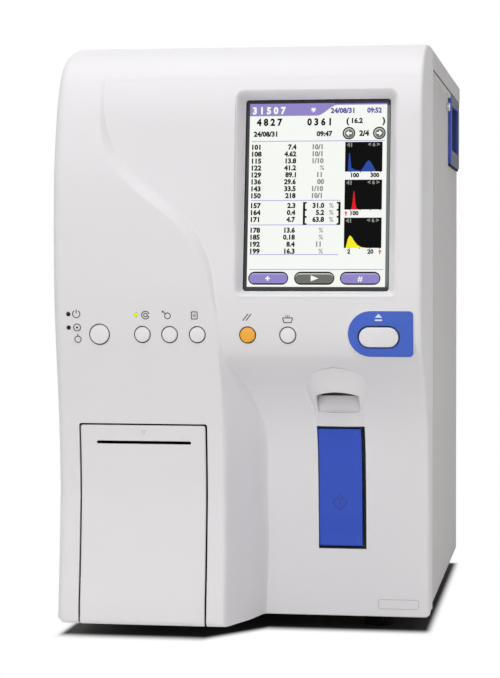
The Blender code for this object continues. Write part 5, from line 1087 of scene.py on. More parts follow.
# Keys, lamps and the eject plate
KEY_ROUND = 0.0007
KEY_CROWN = 0.0003
KEY_CROWN_SHARES = (0.75, 0.5, 0.25)
KEY_TRIM = 0.00060
KEY_TRAVEL = 0.0015
KEY_BACK_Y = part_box("key_board")[0][1] - KEY_TRAVEL - 2 * GAP
KEY_SIDES = 48
# Painted shadow in the key gaps: how far the dark rings lie behind the face, and how deep they are
KEY_SHADOW_BACK = 0.0004
KEY_SHADOW_WALL = 0.0015
EJECT_GAP = 0.0006
EJECT_ROUND = 0.0006
PLATE_ROUND = 0.0002
# Loops of the bead round the eject plate: margin round the plate, depth behind its face
BEAD_STEPS = (
    (0.0, 0.0015), (0.0, 0.0002), (0.0001, 0.0), (0.0003, -0.0001), (0.0005, 0.0), (0.0007, 0.0003),
    (0.0007, 0.0015),
)


def key_painted_shadow_strips():
    """Dark rings in the gaps round the keys: painted shadow, put where the gaps are only in shade."""
    mesh_builder = bmesh.new()
    for _, x, radius in KEYS:
        inner = radius - KEY_TRIM + PANE_GAP / 2
        profile = ((radius, 0), (inner, 0), (inner, KEY_SHADOW_WALL), (radius, KEY_SHADOW_WALL))
        front = reach_y(face_reach(x, KEY_Z) - KEY_SHADOW_BACK)
        add_rings(mesh_builder, discs(x, KEY_Z, front, profile, KEY_SIDES), True)
    piece("key_painted_shadow_strips", mesh_builder, "housing", "rubber")


def keys():
    """Caps with a rounded rim and a faintly crowned face."""
    for name, x, hole in KEYS:
        radius = hole - KEY_TRIM
        front = reach_y(face_reach(x, KEY_Z) + KEY_PROUD)
        profile = [(radius, KEY_BACK_Y - front)]
        for step in range(6):
            angle = QUARTER * step / 5
            profile.append((radius - KEY_ROUND * (1 - math.cos(angle)),
                            KEY_ROUND * (1 - math.sin(angle)) + KEY_CROWN))
        profile += [((radius - KEY_ROUND) * share, KEY_CROWN * share ** 2) for share in KEY_CROWN_SHARES]
        slot_name = "orange_plastic" if name == "clear_key" else "key_plastic"
        mesh_builder = add_rings(bmesh.new(), discs(x, KEY_Z, front, profile, KEY_SIDES))
        piece(f"{name}_cap", mesh_builder, name, slot_name, name)


def lamps():
    """Small domes in their holes."""
    for name, x, z in LAMPS:
        front = reach_y(face_reach(x, z) + LAMP_PROUD)
        dome = arc(0, 0, 1, 0, QUARTER, 5)[:-1]
        profile = [(LAMP_RADIUS, KEY_LENGTH)]
        profile += [(LAMP_RADIUS * across, LAMP_PROUD * 3 * (1 - up)) for across, up in dome]
        slot_name = "lamp_yellow" if name == "busy_lamp" else "lamp_green"
        mesh_builder = add_rings(bmesh.new(), discs(x, z, front, profile, 20))
        piece(f"{name}_lens", mesh_builder, "housing", slot_name, name)


def eject_plate():
    front = PLATE_CENTRE[1] - PLATE_PROUD
    loops = [[(x, front + depth, z) for x, z in plate_outline(margin)] for margin, depth in BEAD_STEPS]
    piece("eject_plate_bead", tilted(add_rings(bmesh.new(), loops, True)), "housing", "shell_plastic")
    plate_builder = tilted(prism(plate_outline(0), front, front + PLATE_THICKNESS))
    plate = bevelled(finish_mesh("eject_plate_face", plate_builder), PLATE_ROUND)
    hole = stadium(EJECT_X, EJECT_Z, EJECT_WIDTH + 2 * EJECT_GAP, EJECT_HEIGHT + 2 * EJECT_GAP)
    cut(plate, finish_mesh("eject_hole", tilted(prism(hole, front - OVERRUN, front + OVERRUN))))
    dress(plate, "housing", "blue_plastic", "eject_plate", look="eject_plate_blue")
    key_front = front - EJECT_PROUD
    outline = stadium(EJECT_X, EJECT_Z, EJECT_WIDTH - EJECT_GAP, EJECT_HEIGHT - EJECT_GAP)
    key_builder = tilted(prism(outline, key_front, key_front + KEY_LENGTH))
    key = bevelled(finish_mesh("eject_key_cap", key_builder), EJECT_ROUND, 4)
    dress(key, "eject_key", "key_plastic", "eject_key")


# Printer door and start paddle
DOOR_EDGE = 0.0008
# Painted shadow along the door's edges: widths of the dark strips, and how far they lie back
EDGE_SHADOW_LEFT = 0.0002
EDGE_SHADOW_RIGHT = 0.0005
EDGE_SHADOW_TOP = 0.0003
EDGE_SHADOW_BACK = 0.0006
# Painted shadow behind the printer door's gap: sizes of the dark strips
DOOR_SHADOW_BACK = 0.0028
DOOR_SHADOW_IN = 0.0010
DOOR_SHADOW_OUT = 0.0024
DOOR_SHADOW_FOOT = 0.0300
EDGE_SHARES = (0, 0.1, 0.3, 0.6, 1.0)
# Faint facets down the paddle: share of its height, how much prouder it stands there
FACET_SHARES = (0.0, 0.060, 0.072, 0.080, 0.265, 0.530, 1.0)
FACET_PROUD = (0.0, 0.0, 0.0005, 0.0, 0.0016, 0.0009, 0.0)
PADDLE_EDGE = 0.0007
PADDLE_CORNER = 0.0004
# Painted shadow in the gaps round the paddle: sizes of the dark strips
PADDLE_SHADOW_OUT = 0.0020
PADDLE_SHADOW_IN = 0.0002
PADDLE_SHADOW_RIGHT = 0.0018
PADDLE_SHADOW_END = 0.0010
PADDLE_SHADOW_BACK = 0.0017


def edge_lines(low, high, edge, step):
    """Places between two ends, close together where the edges are round."""
    near = [edge * share for share in EDGE_SHARES]
    count = max(round((high - low - 2 * edge) / step), 1)
    middle = list(np.linspace(low + edge, high - edge, count + 1))[1:-1]
    return [low + n for n in near] + middle + [high - n for n in reversed(near)]


def curved_plate(sides, reach_at, wall, edge, corner, step, low_corner=None):
    """A plate that follows the front: its corners and edges are round, with a wall behind."""
    left, right, bottom, top = sides
    front, back = [], []
    for z in edge_lines(bottom, top, edge, ROW_STEP):
        inset = max(round_drop(top - z, corner), round_drop(z - bottom, low_corner or corner))
        low, high = left + inset, right - inset
        line = edge_lines(low, high, edge, step)
        rise = min(z - bottom, top - z)
        front.append([(x, reach_y(reach_at(x, z) - round_drop(min(x - low, high - x, rise), edge)), z)
                      for x in line])
        back.append([(x, reach_y(reach_at(x, z) - wall), z) for x in line])
    return closed_slab(front, back)


def add_lugs(mesh_builder, left, right, reach, pin_y, pin_z):
    for x in (left + LUG_WIDTH, right - LUG_WIDTH):
        add_box(mesh_builder, (x - LUG_WIDTH / 2, reach_y(reach), pin_z - LUG_HALF),
                (x + LUG_WIDTH / 2, pin_y + LUG_HALF, pin_z + LUG_HALF))


def door_painted_shadow():
    """Dark strips behind the gap round the printer door: painted shadow, put where the gap is only in shade.
    """
    low, high = BODY_BOTTOM + DOOR_SHADOW_FOOT, DOOR_TOP + DOOR_SHADOW_OUT
    for name, sides in (("left", (DOOR_LEFT - DOOR_SHADOW_OUT, DOOR_LEFT + DOOR_SHADOW_IN, low, high)),
                        ("right", (DOOR_RIGHT - DOOR_SHADOW_IN, DOOR_RIGHT + DOOR_SHADOW_OUT, low, high)),
                        ("top", (DOOR_LEFT, DOOR_RIGHT, DOOR_TOP - DOOR_SHADOW_IN, high))):
        painted_door_shadow = curved_plate(sides, lambda x, z: left_reach(z) - DOOR_SHADOW_BACK, SHEET, GAP, GAP, DOOR_WIDTH)
        piece(f"door_painted_shadow_{name}", painted_door_shadow, "housing", "rubber")


def printer_door():
    pin_y = reach_y(left_reach(DOOR_PIN_Z) - DOOR_PIN_IN)
    left, right = DOOR_LEFT + EDGE_SHADOW_LEFT, DOOR_RIGHT - EDGE_SHADOW_RIGHT
    foot, top = BODY_BOTTOM + FOOT_RISE, DOOR_TOP - EDGE_SHADOW_TOP

    def door_reach(x, z):
        return left_reach(z - foot_rise(DOOR_X, z))

    # Painted shadow: dark strips along the door's left, right and top edges, set back from its face
    for name, sides in (("left", (DOOR_LEFT, left, foot + EDGE_SHADOW_BACK, top)),
                        ("right", (right, DOOR_RIGHT, foot + EDGE_SHADOW_BACK, top)),
                        ("top", (DOOR_LEFT, DOOR_RIGHT, top, DOOR_TOP))):
        rim = curved_plate(sides, lambda x, z: door_reach(x, z) - EDGE_SHADOW_BACK, DOOR_WALL - EDGE_SHADOW_BACK, PANE_GAP,
                           PANE_GAP, DOOR_WIDTH)
        piece(f"door_edge_painted_shadow_{name}", rim, "printer_door", "rubber")
    face = curved_plate((left, right, foot, top), door_reach, DOOR_WALL, DOOR_EDGE, DOOR_CORNER, DOOR_WIDTH,
                        DOOR_EDGE)
    add_lugs(face, DOOR_LEFT, DOOR_RIGHT, left_reach(DOOR_PIN_Z) - DOOR_WALL / 2, pin_y, DOOR_PIN_Z)
    slot = rounded(SLOT_X - SLOT_WIDTH / 2, SLOT_X + SLOT_WIDTH / 2, SLOT_Z - SLOT_HEIGHT / 2,
                   SLOT_Z + SLOT_HEIGHT / 2, SLOT_HEIGHT / 3, 3)
    slot_cutter = finish_mesh("paper_slot", prism(slot, reach_y(FRONT_REACH), pin_y + OVERRUN))
    door = cut(finish_mesh("printer_door_face", face), slot_cutter)
    dress(door, "printer_door", "shell_plastic", "printer_door")


def paddle_reach(x, z):
    share = (z - PADDLE_BOTTOM) / PADDLE_HEIGHT
    return right_reach(z) - PADDLE_SINK + float(np.interp(share, FACET_SHARES, FACET_PROUD))


def start_paddle():
    left, right, bottom, top = paddle_opening()
    strips = (
        (left - PADDLE_SHADOW_OUT, left + PADDLE_SHADOW_IN, bottom, top),
        (right - PADDLE_SHADOW_RIGHT, right + PADDLE_SHADOW_OUT, bottom, top),
        (left, right, bottom - PADDLE_SHADOW_OUT, bottom + PADDLE_SHADOW_END),
        (left, right, top - PADDLE_SHADOW_END, top + PADDLE_SHADOW_OUT),
    )
    # Painted shadow: dark strips behind the gaps round the paddle
    for number, sides in enumerate(strips):
        painted_shadow_liner = curved_plate(sides, lambda x, z: right_reach(z) - PADDLE_SHADOW_BACK, PADDLE_WALL, PADDLE_SHADOW_IN,
                             PADDLE_SHADOW_IN / 2, PADDLE_WIDTH)
        piece(f"paddle_painted_shadow_liner_{number}", painted_shadow_liner, "housing", "black_plastic")
    left, right = PADDLE_LEFT + PADDLE_SHIFT, PADDLE_RIGHT + PADDLE_SHIFT
    face = curved_plate((left, right, PADDLE_BOTTOM, PADDLE_TOP + PADDLE_RAISE), paddle_reach, PADDLE_WALL,
                        PADDLE_EDGE, PADDLE_CORNER, PADDLE_WIDTH)
    pin_y = reach_y(right_reach(PADDLE_PIN_Z) - PADDLE_SINK - PADDLE_WALL - PADDLE_PIN_IN)
    lug_reach = paddle_reach(0, PADDLE_PIN_Z) - PADDLE_WALL / 2
    add_lugs(face, PADDLE_LEFT, PADDLE_RIGHT, lug_reach, pin_y, PADDLE_PIN_Z)
    piece("start_paddle_face", face, "paddle", "blue_plastic", "start_paddle")


# The hood over the needle
HOOD_ROWS = 60 if FINE else 24
HOOD_SIDES = 28 if FINE else 14
HOOD_MORE = 0.0009
HOOD_SOFTNESS = 0.0010
HOOD_RIM = 0.0010
HOOD_ROW_POWER = 1.8
HOOD_SIDE_POWER = 2.4
HOOD_RIM_SLOPE = 6
TABLE_STEPS = 160
WINDOW_RAISE = 0.0008
WINDOW_CORNER = 0.0022
ARCH_STEPS = 16
GUARD_TOP = 0.1578
GUARD_Y = -0.1686


def hood_line(table):
    """A share table of the hood, softened and read at each of its rows."""
    line = np.linspace(0, 1, TABLE_STEPS + 1)
    soft = softened(np.interp(line, *np.array(table).T), HOOD_SOFTNESS / HOOD_HEIGHT, line[1])
    return [float(np.interp(share, line, soft)) for share in hood_shares()]


def hood_shares():
    return [1 - (1 - row / HOOD_ROWS) ** HOOD_ROW_POWER for row in range(HOOD_ROWS + 1)]


def sampler_hood():
    """A soft dome that narrows to a neck over the paddle, with an arched window."""
    front, back = [], []
    for share, width, rise in zip(hood_shares(), hood_line(HOOD_WIDTH_SHARES), hood_line(HOOD_RISE_SHARES)):
        z = HOOD_BOTTOM - HOOD_MORE + (HOOD_HEIGHT + HOOD_MORE) * share
        front_line, back_line = [], []
        for step in range(HOOD_SIDES + 1):
            side = -math.cos(math.pi * step / HOOD_SIDES)
            edge = math.sqrt(min(1.0, HOOD_RIM_SLOPE * (1 - abs(side))))
            bulge = HOOD_RIM * edge + HOOD_RISE * rise * max(0.0, 1 - abs(side) ** HOOD_SIDE_POWER)
            x = HOOD_X + HOOD_HALF * width * side
            front_line.append((x, reach_y(right_reach(z) + bulge), z))
            back_line.append((x, reach_y(right_reach(z) - GAP * 2), z))
        front.append(front_line)
        back.append(back_line)
    left, right, corner = HOOD_X - WINDOW_HALF, HOOD_X + WINDOW_HALF, WINDOW_CORNER
    window = arc(left + corner, WINDOW_BOTTOM + corner, corner, math.pi, 3 * QUARTER, 5)
    window += arc(right - corner, WINDOW_BOTTOM + corner, corner, -QUARTER, 0, 5)
    for step in range(ARCH_STEPS + 1):
        share = 1 - 2 * step / ARCH_STEPS
        rise = WINDOW_RAISE + WINDOW_ARCH * (1 - share ** 2)
        window.append((HOOD_X + WINDOW_HALF * share, WINDOW_TOP + rise))
    window_cutter = finish_mesh("hood_window", prism(window, reach_y(FRONT_REACH), SEAM_Y))
    hood = cut(finish_mesh("sampler_hood_dome", closed_slab(front, back)), window_cutter)
    dress(hood, "housing", "shell_plastic", "sampler_hood")
    guard = rounded(left, right, WINDOW_BOTTOM - SHEET, GUARD_TOP, GAP, 2)
    piece("needle_guard", prism(guard, GUARD_Y, GUARD_Y + SHEET), "housing", "shell_plastic")


# Top cover and grip
FLANGE_UP = 0.0015
LIP_Y = -0.1120
LIP_TOP = FLANGE_Z + 0.0002
LIP_FOOT = FLANGE_Z - 0.0028
GRIP_FOOT = GRIP_BOTTOM + 0.0030
GRIP_HEAD = GRIP_TOP + 0.0018
GRIP_EDGE = 0.0004
GRIP_CORNER = 0.0012
FACING_SHARE = 0.8
TUB_X = SIDE_X - GRIP_DEPTH
TUB_FRONT = GRIP_FRONT_Y + GRIP_FRONT_RIM
TUB_EDGE = 0.0040
# Loops through the grip, from the back of the tub round the frame to the tub's bottom: place in X, margin
# round the tub, corner. The frame's loops have their place and how far they lie inside its outline
TUB_BACK_RINGS = (
    (TUB_X - GRIP_WALL, GRIP_WALL - TUB_EDGE, 0.0040), (TUB_X + TUB_EDGE, GRIP_WALL, 0.0030),
    (SIDE_X + GAP, GRIP_WALL, 0.0030),
)
FRAME_RINGS = (
    (SIDE_X + GAP, 0.0), (HALF_WIDTH - GRIP_EDGE, 0.0), (HALF_WIDTH - GRIP_EDGE * 0.3, GRIP_EDGE * 0.3),
    (HALF_WIDTH, GRIP_EDGE),
)
TUB_RINGS = (
    (HALF_WIDTH, 0.0009, 0.0028), (HALF_WIDTH - 0.0003, 0.0003, 0.0023), (HALF_WIDTH - 0.0010, 0.0, 0.0020),
    (TUB_X + TUB_EDGE, 0.0, 0.0020), (TUB_X + TUB_EDGE * 0.3, -TUB_EDGE * 0.3, 0.0030),
    (TUB_X, -TUB_EDGE, 0.0040),
)


def sheet_line(inset):
    left = arc(LEFT_FILLET - HALF_WIDTH, BODY_TOP - LEFT_FILLET, LEFT_FILLET - inset, math.pi, QUARTER,
               FILLET_STEPS)
    right = arc(HALF_WIDTH - TOP_FILLET, BODY_TOP - TOP_FILLET, TOP_FILLET - inset, QUARTER, 0, FILLET_STEPS)
    return [(inset - HALF_WIDTH, FLANGE_Z), *left, *right, (HALF_WIDTH - inset, FLANGE_Z + FLANGE_UP)]


def top_cover():
    """The bent top sheet, with fine edge radii and two short side flanges."""
    outside, inside = ([[(x, y, z) for x, z in sheet_line(inset)] for y in (SEAM_Y + GAP, REAR_Y)]
                       for inset in (0.0, SHEET))
    piece("top_sheet", closed_slab(outside, inside), "housing", "cover_paint", "top_cover")


def side_lips():
    """The raised upper edge of the side door, which closes the step under the top cover."""
    for name, front, back in (("front", LIP_Y, GRIP_FRONT_Y - GAP), ("rear", GRIP_REAR_Y + GAP, REAR_Y)):
        lip = box((SIDE_X - SHEET / 2, front, LIP_FOOT), (HALF_WIDTH - GAP, back, LIP_TOP))
        piece(f"door_edge_{name}", lip, "right_door", "cover_paint")
    # Painted shadow: a dark strip in the gap under the top cover's flange, where there is only shade
    high = (HALF_WIDTH - SHEET / 2, REAR_Y, FLANGE_Z + 2 * SHEET)
    piece("flange_painted_shadow_strip", box((SIDE_X - SHEET, LIP_Y, FLANGE_Z + GAP), high), "housing", "rubber")


def side_grip():
    """The blue frame with rounded edges round a tub for the fingers."""
    tub = (TUB_FRONT, GRIP_REAR_Y - GRIP_REAR_RIM, GRIP_FOOT + GRIP_BOTTOM_RIM, GRIP_HEAD - GRIP_TOP_RIM)
    frame_sides = (GRIP_FRONT_Y, GRIP_REAR_Y, GRIP_FOOT, GRIP_HEAD)

    def loop(x, sides, margin, corner):
        front, back, low, high = sides
        outline = rounded(front - margin, back + margin, low - margin, high + margin, corner, 5)
        return [(x, y, z) for y, z in outline]

    loops = [loop(x, tub, margin, corner) for x, margin, corner in TUB_BACK_RINGS]
    loops += [loop(x, frame_sides, -inset, GRIP_CORNER) for x, inset in FRAME_RINGS]
    loops += [loop(x, tub, margin, corner) for x, margin, corner in TUB_RINGS]
    grip = piece("side_grip_frame", add_rings(bmesh.new(), loops), "right_door", "blue_plastic", "side_grip")
    # Painted shade: faces inside the tub and faces that look out to the side take darker copies of the blue
    for look in ("grip_side_painted_shade", "grip_tub"):
        grip.data.materials.append(MATERIALS[look])
    for face in grip.data.polygons:
        if face.center.x < HALF_WIDTH - 2 * GRIP_EDGE and TUB_FRONT - GRIP_WALL < face.center.y:
            face.material_index = 2
        elif face.normal.x > FACING_SHARE:
            face.material_index = 1
    # Painted shadow: a dark strip under the grip frame, where its underside throws shade
    painted_shadow_strip = box((SIDE_X, GRIP_FRONT_Y, GRIP_FOOT - SHEET), (HALF_WIDTH - SHEET / 2, GRIP_REAR_Y, GRIP_FOOT))
    piece("grip_painted_shadow_strip", painted_shadow_strip, "right_door", "rubber")


# The rear: a wire guard over the fan, screws and a bare plate
GUARD_WIRE = 0.0008
GUARD_RADII = (0.0100, 0.0180, 0.0260, 0.0340)
GUARD_LUG = 0.0355
GUARD_STEPS = 48
SCREW_TOP_SHARE = 0.7
LUG_SCREW_SHARE = 1.5
REAR_SCREW_RADIUS = 0.0026
REAR_SCREW_HEIGHT = 0.0014
REAR_SCREW_X = 0.1040
REAR_SCREW_HEIGHTS = (0.0260, 0.1400, 0.2500, 0.3580)
RATING_PLATE = (0.0180, 0.0860, 0.1700, 0.2100)
RATING_CORNER = 0.0020
RATING_THICKNESS = 0.0004


def add_tube(mesh_builder, path, radius, sides=12, closed=False):
    """A round tube along a line of points."""
    loops = []
    for index, point in enumerate(path):
        before = path[index - 1] if closed or index else point
        after = path[(index + 1) % len(path)] if closed or index + 1 < len(path) else point
        turn = (Vector(after) - Vector(before)).to_track_quat("Z", "Y")
        loops.append([Vector(point) + turn @ Vector((x, y, 0)) for x, y in disc(0, 0, radius, sides)])
    add_rings(mesh_builder, loops, closed)


def add_screw(mesh_builder, place, direction, radius, height):
    """A low round head that narrows toward its top."""
    start, out = Vector(place), Vector(direction)
    middle = start + out * height / 2
    add_rod(mesh_builder, start, middle, radius, 20)
    add_rod(mesh_builder, middle, start + out * height, radius, 20, radius * SCREW_TOP_SHARE)


def rear_details():
    low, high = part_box("fan_frame")
    x, z = (low[0] + high[0]) / 2, (low[2] + high[2]) / 2
    y = REAR_Y + GUARD_WIRE
    guard_builder, screw_builder = bmesh.new(), bmesh.new()
    for radius in GUARD_RADII:
        ring = [(px, y + GUARD_WIRE, pz) for px, pz in disc(x, z, radius, GUARD_STEPS)]
        add_tube(guard_builder, ring, GUARD_WIRE, 8, True)
    for right, up in ((-1, -1), (-1, 1), (1, -1), (1, 1)):
        inner, lug = ((x + right * reach, y, z + up * reach) for reach in (GUARD_RADII[0] / 2, GUARD_LUG))
        add_rod(guard_builder, inner, lug, GUARD_WIRE, 10)
        add_screw(guard_builder, (lug[0], REAR_Y, lug[2]), (0, 1, 0), REAR_SCREW_RADIUS,
                  REAR_SCREW_HEIGHT * LUG_SCREW_SHARE)
    piece("fan_guard", guard_builder, "housing", "frame_steel")
    for screw_x in (-REAR_SCREW_X, REAR_SCREW_X):
        for screw_z in REAR_SCREW_HEIGHTS:
            add_screw(screw_builder, (screw_x, REAR_Y, screw_z), (0, 1, 0), REAR_SCREW_RADIUS,
                      REAR_SCREW_HEIGHT)
    piece("rear_screws", screw_builder, "housing", "frame_steel")
    plate_builder = prism(rounded(*RATING_PLATE, RATING_CORNER), REAR_Y, REAR_Y + RATING_THICKNESS)
    piece("rating_plate", plate_builder, "housing", "cover_paint")


# The inside of the right bay: tubes between the blocks, valve coils and screws
TUBE_RADIUS = 0.0019
TUBE_STEPS = 14
BATH_TUBE_SHARES = (0.25, 0.50, 0.75)
BATH_TUBE_SHIFT = 0.02
TUBE_SAG = 0.03
TUBE_DROP = 0.035
PORT_IN = 0.008
COIL_SHARES = (0.12, 0.31, 0.50, 0.69, 0.88)
COIL_RADIUS = 0.0085
COIL_HEIGHT = 0.0100
COIL_EDGE = 0.0008
BLOCK_INSET = 0.0050
BLOCK_SCREW = 0.0022


def bent(start, first, second, end):
    """Points of a smooth bend between two ends, drawn toward two places on its way."""
    start, first, second, end = (Vector(place) for place in (start, first, second, end))
    shares = [step / TUBE_STEPS for step in range(TUBE_STEPS + 1)]
    return [start * (1 - s) ** 3 + first * 3 * (1 - s) ** 2 * s + second * 3 * (1 - s) * s ** 2 + end * s ** 3
            for s in shares]


def bay_tubes():
    (bath_low, bath_high), (_, valve_high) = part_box("bath_block"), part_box("valve_block")
    (pump_low, pump_high), (syringe_low, syringe_high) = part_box("pump_body"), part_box("syringe_body")
    port_low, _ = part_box("diluent_port")
    x = (bath_low[0] + bath_high[0]) / 2
    lines = []
    for share in BATH_TUBE_SHARES:
        y = bath_low[1] + (bath_high[1] - bath_low[1]) * share
        sag = (x + TUBE_SAG * share, y, (bath_low[2] + valve_high[2]) / 2)
        lines.append(((x, y, bath_low[2]), sag, sag, (x, y - BATH_TUBE_SHIFT * share, valve_high[2])))
    syringe_x, syringe_y = (syringe_low[0] + syringe_high[0]) / 2, (syringe_low[1] + syringe_high[1]) / 2
    over = syringe_high[2] + TUBE_SAG
    inset = BLOCK_INSET * 2
    bath_y = bath_high[1] - inset
    lines.append(((x, bath_y, bath_high[2]), (x, bath_y, over), (syringe_x, syringe_y, over),
                  (syringe_x, syringe_y, syringe_high[2])))
    pump_x = (pump_low[0] + pump_high[0]) / 2
    valve_y = valve_high[1] - inset
    port = (port_low[0] + PORT_IN, port_low[1], port_low[2] + PORT_IN)
    for y, end, second in (
        (pump_low[1] + inset, (pump_x, valve_y, valve_high[2]), (pump_x, valve_y, valve_high[2] + TUBE_DROP)),
        (pump_high[1] - inset, port, (port[0], port[1] - TUBE_DROP, port[2])),
    ):
        lines.append(((pump_x, y, pump_low[2]), (pump_x, y, pump_low[2] - TUBE_DROP), second, end))
    mesh_builder = bmesh.new()
    for places in lines:
        add_tube(mesh_builder, bent(*places), TUBE_RADIUS)
    piece("bay_tubes", mesh_builder, "housing", "clear_plastic")


def bay_details():
    coil_builder, screw_builder = bmesh.new(), bmesh.new()
    low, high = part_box("valve_block")
    middle = (low[2] + high[2]) / 2
    for share in COIL_SHARES:
        y = low[1] + (high[1] - low[1]) * share
        add_rod(coil_builder, (high[0], y, middle), (high[0] + COIL_HEIGHT, y, middle), COIL_RADIUS, 32)
        add_screw(screw_builder, (high[0] + COIL_HEIGHT, y, middle), (1, 0, 0), BLOCK_SCREW, BLOCK_SCREW / 2)
    dress(bevelled(finish_mesh("valve_coils", coil_builder), COIL_EDGE), "housing", "black_plastic")
    for name in ("bath_block", "pump_body"):
        low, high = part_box(name)
        for y in (low[1] + BLOCK_INSET, high[1] - BLOCK_INSET):
            for z in (low[2] + BLOCK_INSET, high[2] - BLOCK_INSET):
                add_screw(screw_builder, (high[0], y, z), (1, 0, 0), BLOCK_SCREW, BLOCK_SCREW / 2)
    piece("bay_screws", screw_builder, "housing", "frame_steel")


# Symbols on the front: thin lines laid on its surface. A row has the middle of its symbol and one form round
# that: a line (two ends, width), an outline (its corners), a ring (middle, radius, two angles) or a disc
DRAPE = 0.00012
INK_LINE = 0.00055
FINE_LINE = 0.0003
RING_STEPS = 20
LEFT_ICONS = (
    (-0.0998, 0.2104, "ring", 0.0, 0.0, 0.0023, QUARTER + 0.55, QUARTER + TURN - 0.55),
    (-0.0998, 0.2104, "line", 0.0, 0.0004, 0.0, 0.0029, INK_LINE),
    (-0.0995, 0.2020, "ring", 0.0, 0.0, 0.0022, 0.0, TURN),
    (-0.0995, 0.2020, "disc", 0.0, 0.0, 0.0007),
    (-0.0992, 0.1946, "ring", 0.0, 0.0, 0.0020, 0.0, TURN),
    (-0.0992, 0.1946, "line", 0.0, 0.0020, 0.0, 0.0034, INK_LINE),
    (-0.0559, 0.2099, "ring", 0.0, 0.0, 0.0011, 0.0, TURN),
    (-0.0559, 0.2099, "ring", 0.0, 0.0, 0.0024, 0.3, TURN - 0.6),
    (-0.0559, 0.2099, "line", 0.0009, -0.0002, 0.0023, -0.0012, INK_LINE),
    (-0.0420, 0.2095, "ring", 0.0, 0.0, 0.0018, 0.0, TURN),
    (-0.0420, 0.2095, "line", -0.0031, 0.0026, -0.0013, 0.0013, INK_LINE),
    (-0.0420, 0.2095, "disc", -0.0030, 0.0026, 0.0006),
    (-0.0252, 0.2098, "outline", -0.0018, -0.0022, 0.0018, -0.0022, 0.0018, 0.0022, -0.0018, 0.0022),
    (-0.0252, 0.2098, "line", -0.0010, -0.0008, 0.0010, -0.0008, FINE_LINE),
    (-0.0252, 0.2098, "line", -0.0010, 0.0, 0.0010, 0.0, FINE_LINE),
    (-0.0252, 0.2098, "line", -0.0010, 0.0008, 0.0010, 0.0008, FINE_LINE),
)
RIGHT_ICONS = (
    (0.0075, 0.2088, "line", -0.0025, -0.0021, 0.0007, 0.0021, INK_LINE),
    (0.0075, 0.2088, "line", -0.0005, -0.0021, 0.0027, 0.0021, INK_LINE),
    (0.0328, 0.2080, "outline", -0.0031, 0.0005, -0.0023, -0.0024, 0.0023, -0.0024, 0.0031, 0.0005),
    (0.0328, 0.2080, "line", -0.0010, 0.0008, -0.0010, 0.0024, FINE_LINE),
    (0.0328, 0.2080, "line", 0.0, 0.0008, 0.0, 0.0024, FINE_LINE),
    (0.0328, 0.2080, "line", 0.0010, 0.0008, 0.0010, 0.0024, FINE_LINE),
)
SLOT_MARK = (SLOT_X + 0.0001, SLOT_Z + 0.0062, 0.0013)
START_MARK = (0.0572, 0.0876, 0.0047)
START_BAR = 0.0028
START_LINES = (0.0007, 0.0006)
BADGE = (0.0820, 0.1080, 0.0189, 0.0249, 0.0013)
BADGE_LINE = 0.00045
EJECT_MARK = (
    ((-0.0022, 0.0), (0.0022, 0.0), (0.0, 0.0024)),
    ((-0.0022, -0.0020), (0.0022, -0.0020), (0.0022, -0.0011), (-0.0022, -0.0011)),
)
EJECT_MARK_PLACE = (0.0888, 0.2089)


def line_shape(x0, z0, x1, z1, width):
    along = Vector((x1 - x0, z1 - z0)).normalized() * width / 2
    return [(x0 + along.y, z0 - along.x), (x1 + along.y, z1 - along.x), (x1 - along.y, z1 + along.x),
            (x0 - along.y, z0 + along.x)]


def outline_shapes(points, width):
    return [line_shape(*first, *second, width) for first, second in zip(points, points[1:] + points[:1])]


def icon_shapes(rows):
    shapes = []
    for x, z, kind, dx, dz, *sizes in rows:
        if kind == "line":
            shapes.append(line_shape(x + dx, z + dz, x + sizes[0], z + sizes[1], sizes[2]))
        elif kind == "outline":
            corners = zip((dx, *sizes[0::2]), (dz, *sizes[1::2]))
            shapes += outline_shapes([(x + across, z + up) for across, up in corners], INK_LINE)
        elif kind == "disc":
            shapes.append(disc(x + dx, z + dz, *sizes))
        else:
            radius, start, end = sizes
            outer, inner = (arc(x, z, radius + side * INK_LINE / 2, start, end, RING_STEPS)
                            for side in (1, -1))
            shapes += [[inner[i], outer[i], outer[i + 1], inner[i + 1]] for i in range(RING_STEPS)]
    return shapes


def drape(name, shapes, reach_at, look, body="housing"):
    """Flat outlines of (x, z) points laid just over a front surface."""
    vertices, faces = [], []
    for shape in shapes:
        faces.append([len(vertices) + index for index in range(len(shape))])
        vertices += [(x, reach_y(reach_at(x, z) + DRAPE), z) for x, z in shape]
    flat_piece(name, vertices, faces, [MATERIALS[look]], body)


def icons():
    drape("icons_left", icon_shapes(LEFT_ICONS), face_reach, "icon_ink")
    drape("icons_right", icon_shapes(RIGHT_ICONS), face_reach, "icon_ink")
    x, z, half = SLOT_MARK
    mark = outline_shapes([(x - half, z + half), (x + half, z + half), (x, z - half)], FINE_LINE)
    drape("slot_mark", mark, lambda px, pz: left_reach(pz), "faint_ink", "printer_door")
    x, z, half = START_MARK
    edge, bar = START_LINES
    diamond = outline_shapes([(x - half, z), (x, z - half), (x + half, z), (x, z + half)], edge)
    diamond.append(line_shape(x, z - START_BAR, x, z + START_BAR, bar))
    drape("start_mark", diamond, paddle_reach, "deep_blue_ink", "paddle")
    badge = outline_shapes(rounded(*BADGE, 5), BADGE_LINE)
    drape("bare_plate_edge", badge, face_reach, "faint_ink")
    x, z = EJECT_MARK_PLACE
    top = [[(x + dx, z + dz) for dx, dz in shape] for shape in EJECT_MARK]

    def plate_reach(px, pz):
        middle = right_reach(PLATE_Z) + PLATE_PROUD / math.cos(PLATE_TILT)
        return middle + (pz - PLATE_Z) * math.tan(PLATE_TILT)

    drape("eject_mark", top, plate_reach, "pale_ink")


